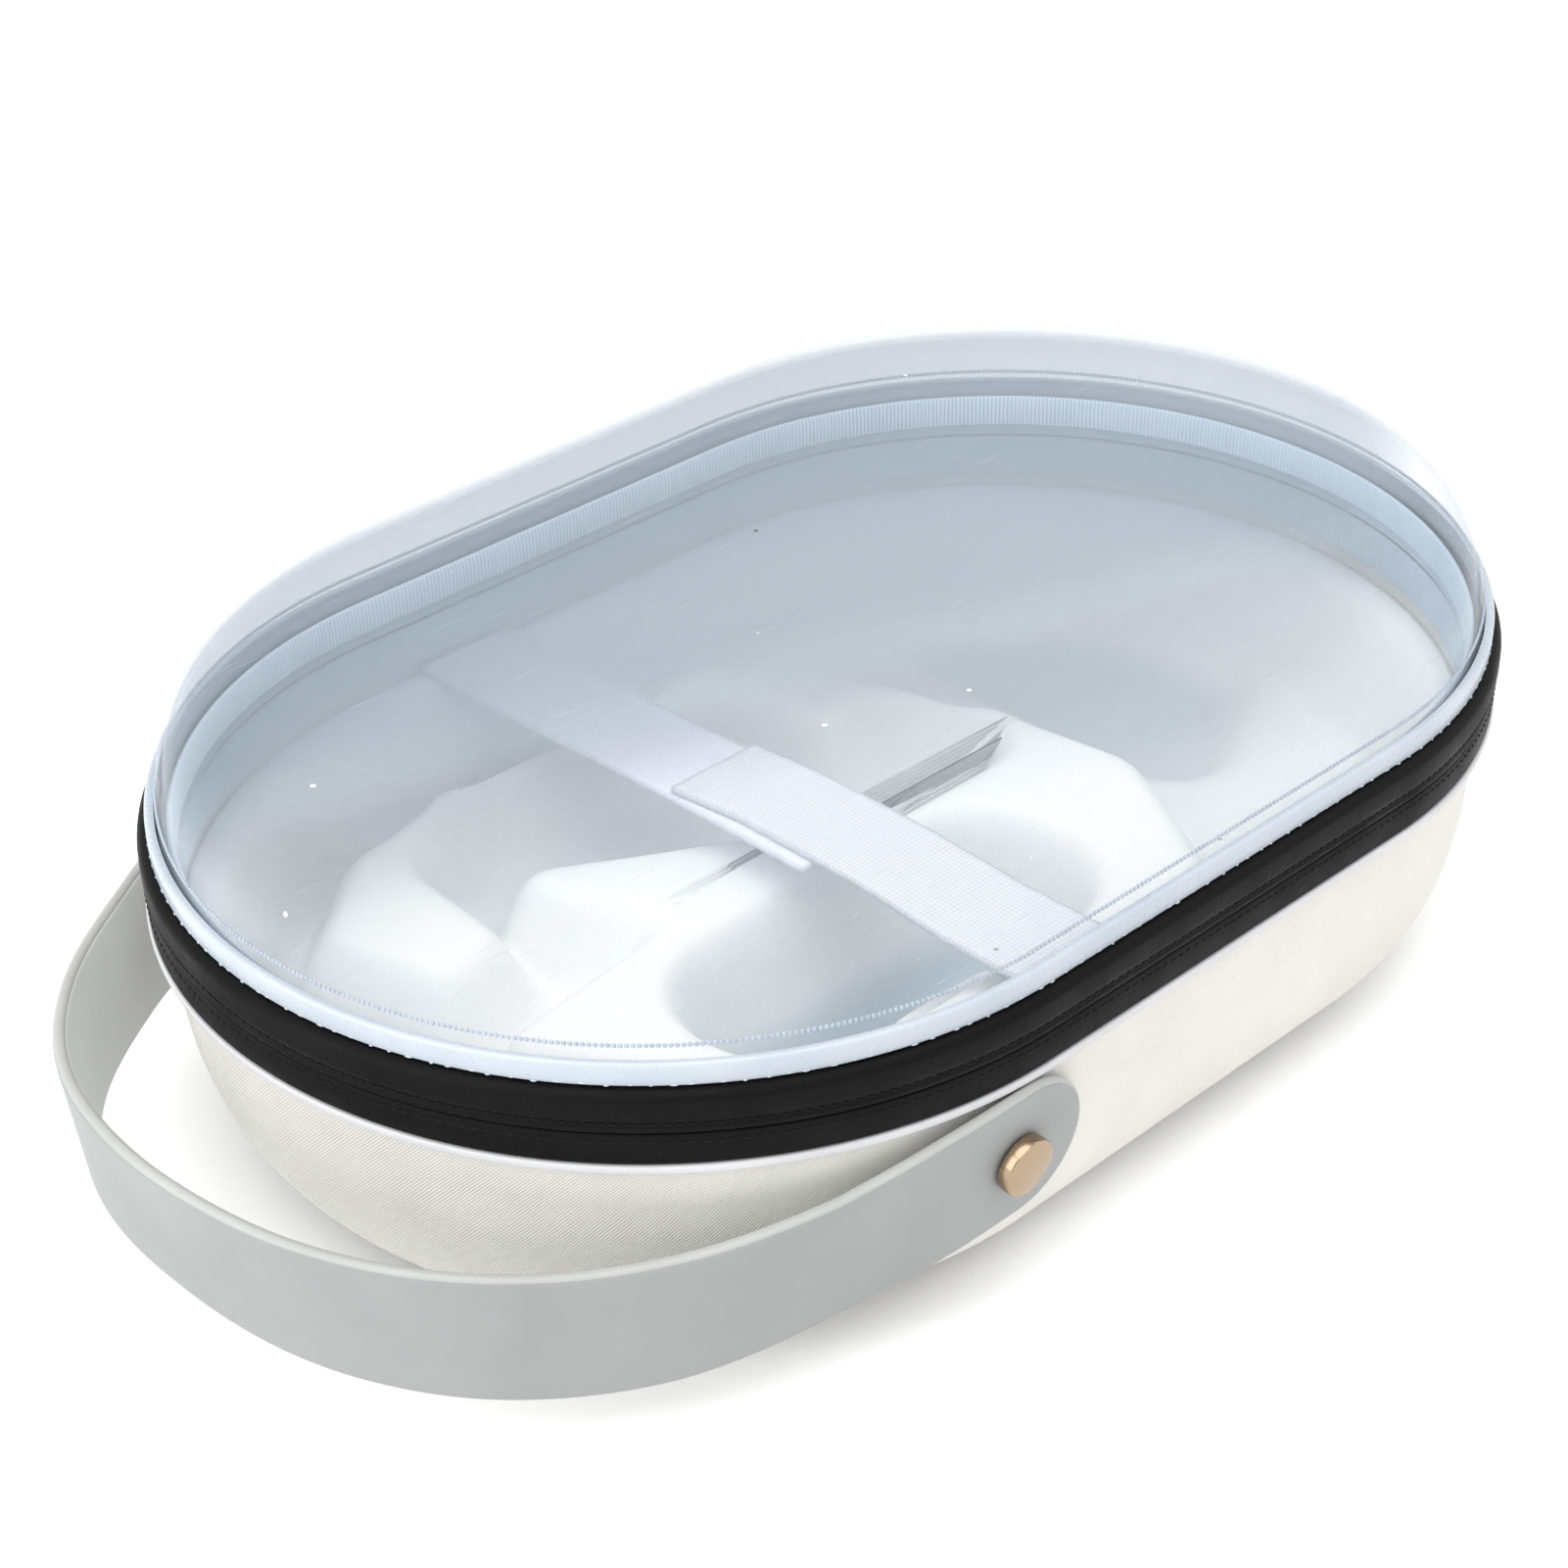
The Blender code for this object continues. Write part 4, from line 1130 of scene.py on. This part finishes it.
@dataclass
class Tray:
    """Moulded tray: a ledge, a bay, raised forms and wells, all with soft edges."""

    ledge: float = 52.0
    reach: float = 100.42
    bay_reach: float = 88.6
    bay: float = 22.0
    wall: float = 2.4 * MM
    steps: int = 320
    rings: int = 84
    softness: float = 2.8
    raised: tuple[TrayForm, ...] = (
        TrayForm(((-105, -14, 8), (-60, -87, 6), (26, -87, 6), (51, -30, 12), (46, 2, 12)), 44.0),
        TrayForm(((46, 6, 13), (23, 64, 9), (15, 66, 8), (31, 10, 8)), 44.0),
        TrayForm(((-108, 40, 10), (-101, 18, 10), (-90, 20, 9), (-88, 56, 9)), 44.0),
        TrayForm(((-88, 56, 9), (-59, 68, 5)), 44.0),
        TrayForm(((-59, 68, 5), (17, 68, 5)), 44.0),
        TrayForm(((-66, 26, 9), (-20, -4, 12), (-50, -8, 8)), 44.0, 10.0),
    )
    wells: tuple[TrayForm, ...] = (
        TrayForm(((-56, -39, 19.5), (1.5, -39, 18.5)), 6.2, 13.0),
        TrayForm(((0, 9, 15), (33, 8, 14)), 26.0, 15.0),
        TrayForm(((97.5, 56, 13), (97.5, -12, 13), (117.5, 32, 13), (120.5, 2, 13)), 16.0, 13.0),
    )
    saddle: TrayForm = TrayForm(((-36, -50, 7), (-8, -50, 7)), 30.0, 15.0)
    crease: tuple[tuple[float, float], ...] = ((-52, 38), (-40, 26), (-28, 12), (-10, -5))

    def forms(self, x: np.ndarray, y: np.ndarray) -> np.ndarray:
        """Height of the forms at places in mm, also in mm, before they are softened."""
        past = np.maximum(np.abs(x) - PLAN.half_straight / MM, 0)
        inside = self.bay_reach - np.hypot(past, y)
        t = np.clip(0.5 + inside / 12.0, 0, 1)
        bay = t * t * t * (t * (6 * t - 15) + 10)
        lift = np.zeros_like(x)
        for form in self.raised:
            lift = 1.0 - (1.0 - lift) * (1.0 - form.share(x, y))
        face = self.bay + (self.raised[0].level - self.bay) * lift
        for form in self.wells:
            face = face + (np.minimum(form.level, face) - face) * form.share(x, y)
        face = face + np.maximum(self.saddle.level - face, 0) * self.saddle.share(x, y)
        swell = 0.5 * np.sin(x / 23.0 + 1.0) * np.cos(y / 19.0)
        return self.ledge + (face + swell * bay - self.ledge) * bay

    def height(self, x: np.ndarray, y: np.ndarray) -> np.ndarray:
        """Height of the tray's face at places in mm, also in mm, as soft as pressed foam."""
        left, near = -168.0, -114.0
        columns, rows = np.meshgrid(np.arange(left, -left + 1), np.arange(near, -near + 1))
        field = self.forms(columns, rows)
        reach = np.arange(-9, 10)
        weights = np.exp(-0.5 * (reach / self.softness) ** 2)
        weights /= weights.sum()
        for axis in (0, 1):
            field = sum(w * np.roll(field, int(k), axis) for k, w in zip(reach, weights))
        i, j = np.floor(x - left).astype(int), np.floor(y - near).astype(int)
        u, v = x - left - i, y - near - j
        face = ((field[j, i] * (1 - u) + field[j, i + 1] * u) * (1 - v)
                + (field[j + 1, i] * (1 - u) + field[j + 1, i + 1] * u) * v)
        for (xa, ya), (xb, yb) in zip(self.crease, self.crease[1:]):
            span = math.hypot(xb - xa, yb - ya)
            along = np.clip(((x - xa) * (xb - xa) + (y - ya) * (yb - ya)) / span ** 2, 0, 1)
            off = np.hypot(x - xa - along * (xb - xa), y - ya - along * (yb - ya))
            face = face - 0.7 * np.exp(-(off / 2.2) ** 2)
        return face

    def build(self) -> None:
        """Build the tray as one soft sheet with a wall."""
        line = [(self.reach * MM * i / self.rings, self.ledge * MM) for i in range(self.rings + 1)]
        bm = PLAN.ring(line, self.steps, 70, closed=False, drafted=True)
        if sum(face.normal.z for face in bm.faces) < 0:
            bmesh.ops.reverse_faces(bm, faces=bm.faces)
        places = np.array([vert.co[:2] for vert in bm.verts]) / MM
        heights = self.height(places[:, 0], places[:, 1])
        uv = bm.loops.layers.uv.verify()
        for vert, height in zip(bm.verts, heights):
            vert.co.z = float(height) * MM
            for loop in vert.link_loops:
                loop[uv].uv = (vert.co.x / MM, (vert.co.y + 0.5 * vert.co.z) / MM)
        tray = add_piece("tray_moulded", bm, [TRAY_TRICOT.material()], ["insert_tray"],
                         sharp=85)
        wall = tray.modifiers.new("wall", "SOLIDIFY")
        wall.thickness = self.wall
        wall.offset = -1.0


@dataclass
class TieDown:
    """Hook-and-loop strap over the tray: the near half is pressed on the far half."""

    middle: float = -25.5 * MM
    width: float = 25.5 * MM
    thick: float = 1.6 * MM
    low: float = 52.3 * MM
    lap: float = 54.2 * MM
    reach: float = 100.75 * MM
    near_end: float = 18.5 * MM
    far_end: float = -22 * MM

    def strap(self, route: Sequence[tuple[float, float, float, float]]) -> bmesh.types.BMesh:
        """Strap along a route, with slightly ruffled edges.

        Args:
            route: y, height of the underside, shift of its middle and share of the width.

        Returns:
            The strap's upper face as an open grid.
        """
        bm = bmesh.new()
        start, end = route[0][0], route[-1][0]
        columns = round(abs(end - start) / (1.2 * MM))
        rows = 16
        ys = [knot[0] for knot in route]

        def place(i: int, j: int) -> Vector:
            """Point of the strap."""
            y = start + (end - start) * i / columns
            height, shift, share = (float(np.interp(y, ys, [knot[k] for knot in route])) for k in (1, 2, 3))
            across = j / rows - 0.5
            ruffle = noise.noise(Vector((y * 700, across * 3, shift * 900))) * 0.12 * MM
            edge = abs(across) * 2 > 0.99
            x = self.middle + shift + across * self.width * share + (ruffle if edge else 0.0)
            return Vector((x, y, height + self.thick * 0.5 + ruffle))

        def measure(i: int, j: int) -> tuple[float, float]:
            """UV of the strap in millimetres."""
            return (self.width / MM * j / rows, abs(end - start) / MM * i / columns)

        bend_grid(bm, columns, rows, place, measure)
        if sum(face.normal.z for face in bm.faces) < 0:
            bmesh.ops.reverse_faces(bm, faces=bm.faces)
        return bm

    def build(self) -> None:
        """Build both halves of the strap."""
        far_route = [(self.far_end, self.low, 2 * MM, 1.0), (10 * MM, self.low, 2 * MM, 1.0),
                     (70 * MM, self.low, 0.0, 1.0), (self.reach, self.low, -0.5 * MM, 1.0)]
        near_route = [(-self.reach, self.low, 4.5 * MM, 1.0), (-60 * MM, self.low, 4.2 * MM, 1.0),
                      (-34 * MM, self.lap, 4.0 * MM, 0.97), (0.0, self.lap, 4.0 * MM, 0.96),
                      (self.near_end, self.lap, 2.0 * MM, 0.98)]
        for name, route, node, cloth in (("strap_far_loop", far_route, "strap_far", STRAP_LOOP),
                                         ("strap_near_back", near_route, "strap_near", STRAP_BACK)):
            piece = add_piece(name, self.strap(route), [cloth.material()], [node], sharp=60)
            wall = piece.modifiers.new("wall", "SOLIDIFY")
            wall.thickness = self.thick
            wall.offset = 0.0
            length = sum(math.dist(a[:2], b[:2]) for a, b in zip(route, route[1:]))


@dataclass
class Handle:
    """Strap handle on two rivets: one flat strap with rounded, painted edges."""

    rivet_x: float = -64 * MM
    rivet_height: float = 41 * MM
    side: float = 105.5 * MM
    reach: float = 120 * MM
    sag: float = 11.5 * MM
    end: float = 18.5 * MM
    width: float = 31.5 * MM
    thick: float = 3.0 * MM
    bend: float = 1.75 * MM
    edge: float = 0.8 * MM
    rows: tuple[tuple[float, float, float, float], ...] = (
        (0.000, 1.000, 0.00, 5.7), (0.308, 0.917, 0.63, 9.0), (0.575, 0.790, 1.00, 5.0),
        (0.800, 0.595, 0.97, 5.0), (0.949, 0.329, 0.78, 6.7), (1.000, 0.000, 0.63, 8.7),
    )
    span_steps: int = 14

    def route(self) -> list[tuple[Vector, float]]:
        """Points along the strap's middle and its lean, from the near tip to the far tip."""
        near = [(Vector((self.rivet_x - self.reach * r, -self.side * s, self.rivet_height - self.sag * g)),
                 lean)
                for r, s, g, lean in self.rows]
        far = [(Vector((p.x, -p.y, p.z)), lean) for p, lean in near[:-1]]
        knots = near + far[::-1]
        points = [knot[0] for knot in knots]
        slopes = [(after - before) / 2 for before, after in zip(points, points[2:])]
        first = Vector((-1, 0, 0)) * (points[1] - points[0]).length
        last = Vector((1, 0, 0)) * (points[-1] - points[-2]).length
        slopes = [first] + slopes + [last]
        line = []
        for i in range(len(knots) - 1):
            for k in range(self.span_steps):
                t = k / self.span_steps
                t2, t3 = t * t, t * t * t
                place = (points[i] * (2 * t3 - 3 * t2 + 1) + slopes[i] * (t3 - 2 * t2 + t)
                         + points[i + 1] * (3 * t2 - 2 * t3) + slopes[i + 1] * (t3 - t2))
                line.append((place, knots[i][1] * (1 - t) + knots[i + 1][1] * t))
        line.append(knots[-1])
        tip = Vector((self.end, 0, 0))
        return [(line[0][0] + tip, line[0][1])] + line + [(line[-1][0] + tip, line[-1][1])]

    def stations(self, total: float, depths: Sequence[float]) -> list[float]:
        """Distances along the strap of its cross rows, closer together in its round ends."""
        cap = self.width / 2
        ends = {cap * (1 - math.cos(math.pi / 2 * i / 12)) for i in range(12)} | set(depths)
        ends = sorted(d for d in ends if d < cap)
        middle = np.linspace(cap, total - cap, 130)
        return ends + [float(d) for d in middle] + [total - d for d in reversed(ends)]

    def build(self) -> None:
        """Build the strap: both faces of a flat band, bent along its route."""
        line = self.route()
        travel = [0.0]
        for (a, _), (b, _) in zip(line, line[1:]):
            travel.append(travel[-1] + (b - a).length)
        total = travel[-1]
        half = self.width / 2
        groove = 0.15 * MM
        depths = [0.0, 0.08 * MM, 0.3 * MM, self.edge - groove, self.edge, self.edge + groove,
                  1.35 * MM, self.bend, 4 * MM, 8 * MM, 12 * MM]
        across = [(-1, d) for d in depths] + [(0, half)] + [(1, d) for d in reversed(depths)]
        stations = self.stations(total, depths)
        frames = [self.frame_at(line, travel, d) for d in stations]

        def place(i: int, j: int, face_side: int) -> Vector:
            """Point of one face of the strap."""
            centre, rise, face = frames[i]
            past = max(half - stations[i], half - (total - stations[i]), 0.0)
            sign, depth = across[j]
            span = (half - depth) ** 2 - past ** 2
            aside = math.sqrt(span) * sign if span > 0 else 0.0
            deep = depth if span > 0 else half - past
            if sign == 0:
                deep = half - past
            bulge = min(deep / self.bend, 1.0)
            lift = self.thick / 2 * math.sqrt(max(1 - (1 - bulge) ** 2.4, 0.0))
            if abs(deep - self.edge) < groove / 2:
                lift -= 0.12 * MM
            return centre + rise * aside + face * lift * face_side

        bm = bmesh.new()
        for face_side in (1, -1):
            bend_grid(bm, len(stations) - 1, len(across) - 1, lambda i, j: place(i, j, face_side),
                      lambda i, j: (stations[i] / MM, across[j][0] * (half - across[j][1]) / MM),
                      lambda j: self.paint(across, j, face_side))
        bmesh.ops.remove_doubles(bm, verts=bm.verts, dist=2e-6)
        bmesh.ops.dissolve_degenerate(bm, edges=bm.edges, dist=1e-6)
        bmesh.ops.recalc_face_normals(bm, faces=bm.faces)
        finishes = [finish.material() for finish in (HANDLE_FACE, HANDLE_EDGE, HANDLE_INNER_PAINTED_LIGHT)]
        add_piece("handle_loop", bm, finishes, ["handle_strap"], sharp=60)

    def paint(self, across: Sequence[tuple[int, float]], row: int, face_side: int) -> int:
        """Material number of a row of faces: 0 outside, 1 on the painted edge, 2 on the inner face, made
        paler as painted light.
        """
        deepest = max(across[row][1], across[row + 1][1])
        if deepest <= self.edge + SAME_POINT:
            return 1
        return 0 if face_side > 0 else 2

    def frame_at(self, line: Sequence[tuple[Vector, float]], travel: Sequence[float],
                 distance: float) -> tuple[Vector, Vector, Vector]:
        """Centre, upward and outward directions of the strap at a distance along it."""
        k = min(max(int(np.searchsorted(travel, distance)), 1), len(line) - 1)
        t = (distance - travel[k - 1]) / (travel[k] - travel[k - 1])
        centre = line[k - 1][0].lerp(line[k][0], t)
        lean = math.radians(line[k - 1][1] * (1 - t) + line[k][1] * t)
        before = line[max(k - 2, 0)][0]
        after = line[min(k + 1, len(line) - 1)][0]
        along = ((line[k][0] - line[k - 1][0]).normalized() * 2 + (after - before).normalized()).normalized()
        up = (Vector((0, 0, 1)) - along * along.z).normalized()
        out = along.cross(up)
        if out.dot(centre - Vector((self.rivet_x, 0, centre.z))) < 0:
            out = -out
        rise = up * math.cos(lean) + out * math.sin(lean)
        face = out * math.cos(lean) - up * math.sin(lean)
        return centre, rise, face


@dataclass
class Rivet:
    """Flat-topped rivet that holds one end of the handle."""

    side: Side
    x: float = -64 * MM
    height: float = 41 * MM
    shell_radius: float = 103.85 * MM
    draft: float = 0.10
    cap_radius: float = 6.3 * MM
    seat: float = 3.6 * MM
    top: float = 6.6 * MM
    post: float = 2.2 * MM
    head_radius: float = 5.0 * MM
    head_at: float = -5.2 * MM
    head_height: float = 1.2 * MM
    steps: int = 64

    def line(self) -> list[tuple[float, float]]:
        """Profile from the middle of the cap's face to the middle of the inner head."""
        bevel = 0.45 * MM
        line = [(0.0, self.top), (self.cap_radius - bevel, self.top),
                (self.cap_radius - bevel * 0.35, self.top - bevel * 0.25),
                (self.cap_radius, self.top - bevel), (self.cap_radius, self.seat + 0.25 * MM),
                (self.cap_radius - 0.25 * MM, self.seat), (self.post, self.seat),
                (self.post, self.head_at), (self.head_radius, self.head_at),
                (self.head_radius, self.head_at - self.head_height), (0.0, self.head_at - self.head_height)]
        return line

    def build(self, material: bpy.types.Material) -> None:
        """Spin the rivet and seat it square on the drafted wall.

        Args:
            material: The rivets' metal.
        """
        bm = bmesh.new()
        verts = [bm.verts.new((radius, 0.0, height)) for radius, height in self.line()]
        edges = [bm.edges.new(pair) for pair in zip(verts, verts[1:])]
        bmesh.ops.spin(bm, geom=verts + edges, axis=(0, 0, 1), angle=math.tau, steps=self.steps,
                       use_merge=True)
        bmesh.ops.remove_doubles(bm, verts=bm.verts, dist=SAME_POINT)
        bmesh.ops.recalc_face_normals(bm, faces=bm.faces)
        lean = math.atan(self.draft)
        axis = Vector((0, self.side.value * math.cos(lean), -math.sin(lean)))
        seat = Vector((self.x, self.side.value * self.shell_radius, self.height))
        bm.transform(Matrix.Translation(seat) @ axis.to_track_quat("Z", "Y").to_matrix().to_4x4())
        name = self.side.name.lower()
        add_piece(f"rivet_cap_{name}", bm, [material], [f"rivet_{name}"], sharp=25)


@dataclass
class Slider:
    """Zip slider with a plain pull, on the hidden far side."""

    x: float = 60 * MM
    front: float = 106.6 * MM
    zip_height: float = 66 * MM
    length: float = 12 * MM
    height: float = 8.8 * MM
    depth: float = 3.6 * MM
    pull_length: float = 24 * MM
    pull_width: float = 8 * MM
    pull_thick: float = 1.4 * MM

    def block(self, bm: bmesh.types.BMesh, size: tuple[float, float, float],
              middle: tuple[float, float, float], bevel: float) -> None:
        """Add a block with rounded edges.

        Args:
            bm: Mesh that takes it.
            size: Its length, depth and height.
            middle: Its middle.
            bevel: Width of its bevels.
        """
        made = bmesh.ops.create_cube(bm, size=1.0, matrix=Matrix.Translation(middle)
                                     @ Matrix.Diagonal((*size, 1.0)))["verts"]
        edges = list({edge for vert in made for edge in vert.link_edges})
        bmesh.ops.bevel(bm, geom=edges, offset=bevel, segments=3, profile=0.5, affect="EDGES", material=-1)

    def build(self) -> None:
        """Build the slider's body, bridge and pull."""
        bm = bmesh.new()
        z = self.zip_height
        y = self.front + self.depth / 2
        self.block(bm, (self.length, self.depth * 0.55, self.height), (self.x, y - 0.8 * MM, z), 0.7 * MM)
        self.block(bm, (self.length * 0.66, self.depth * 0.5, 2.4 * MM), (self.x, y + 0.7 * MM, z), 0.5 * MM)
        pull_y = self.front + self.depth - self.pull_thick / 2
        self.block(bm, (self.pull_width, self.pull_thick, self.pull_length),
                   (self.x, pull_y, z - self.pull_length / 2), 0.45 * MM)
        add_piece("zip_slider_metal", bm, [SLIDER_ZINC.material()], ["zip_slider"], sharp=35)


@dataclass
class Studio:
    """Pale floor, soft lights and the camera at the photograph's angle."""

    azimuth: float = -44.162
    elevation: float = 32.111
    roll: float = -0.759
    distance: float = 682.74 * MM
    aside: float = -14.21 * MM
    above: float = -14.85 * MM
    zip_height: float = 66 * MM
    lens: float = 72.4
    sky: float = 0.90
    # Name, place in metres, length of its sides in metres and power in watts of each light.
    lights: tuple[tuple[str, tuple[float, float, float], float, float], ...] = (
        ("top_softbox", (-0.3, -0.3, 1.6), 1.6, 18),
        ("right_softbox", (1.3, -0.7, 0.9), 1.0, 3),
        ("left_softbox", (-1.3, 0.3, 0.7), 1.2, 12),
    )

    def floor(self) -> None:
        """Lay the paper floor."""
        bm = bmesh.new()
        bmesh.ops.create_grid(bm, x_segments=1, y_segments=1, size=4.0)
        mesh = bpy.data.meshes.new("studio_floor")
        bm.to_mesh(mesh)
        bm.free()
        floor = bpy.data.objects.new("studio_floor", mesh)
        mesh.materials.append(STUDIO_PAPER.material())
        bpy.context.scene.collection.objects.link(floor)

    def camera(self) -> None:
        """Set the camera at the photograph's viewing angle."""
        az, el = math.radians(self.azimuth), math.radians(self.elevation)
        back = Vector((math.sin(az) * math.cos(el), -math.cos(az) * math.cos(el), math.sin(el)))
        right = Vector((math.cos(az), math.sin(az), 0))
        up = back.cross(right)
        c, s = math.cos(math.radians(self.roll)), math.sin(math.radians(self.roll))
        right, up = right * c + up * s, up * c - right * s
        place = back * self.distance + right * self.aside + up * self.above
        data = bpy.data.cameras.new("camera")
        data.lens = self.lens
        data.sensor_width = 36
        data.clip_start = 0.05
        camera = bpy.data.objects.new("camera", data)
        turn = Matrix((right, up, back)).transposed().to_4x4()
        camera.matrix_world = Matrix.Translation(place + Vector((0, 0, self.zip_height))) @ turn
        bpy.context.scene.collection.objects.link(camera)
        bpy.context.scene.camera = camera

    def light(self, name: str, place: tuple[float, float, float], size: float, power: float) -> None:
        """Add a soft square light that looks at the case.

        Args:
            name: Its name.
            place: Where it stands.
            size: Length of its sides.
            power: Its power in watts.
        """
        data = bpy.data.lights.new(name, "AREA")
        data.size = size
        data.energy = power
        lamp = bpy.data.objects.new(name, data)
        lamp.location = place
        aim = Vector((0, 0, 0.05)) - Vector(place)
        lamp.rotation_euler = aim.to_track_quat("-Z", "Y").to_euler()
        bpy.context.scene.collection.objects.link(lamp)

    def build(self) -> None:
        """Set up the whole studio."""
        self.floor()
        self.camera()
        for name, place, size, power in self.lights:
            self.light(name, place, size, power)
        world = bpy.data.worlds.new("studio_world")
        world.use_nodes = True
        glow = world.node_tree.nodes["Background"]
        glow.inputs["Color"].default_value = (1.0, 1.0, 1.0, 1.0)
        glow.inputs["Strength"].default_value = self.sky
        bpy.context.scene.world = world
        bpy.context.scene.view_settings.view_transform = "Standard"


def main() -> None:
    """Build the case and its studio."""
    logging.basicConfig(level=logging.INFO, format="%(message)s")
    Shell().build()
    ZipBand().build()
    Lid().build()
    Tapes().build()
    Tray().build()
    TieDown().build()
    Handle().build()
    gold = RIVET_GOLD.material()
    for side in Side:
        Rivet(side).build(gold)
    Slider().build()
    Studio().build()


if __name__ == "__main__":
    main()
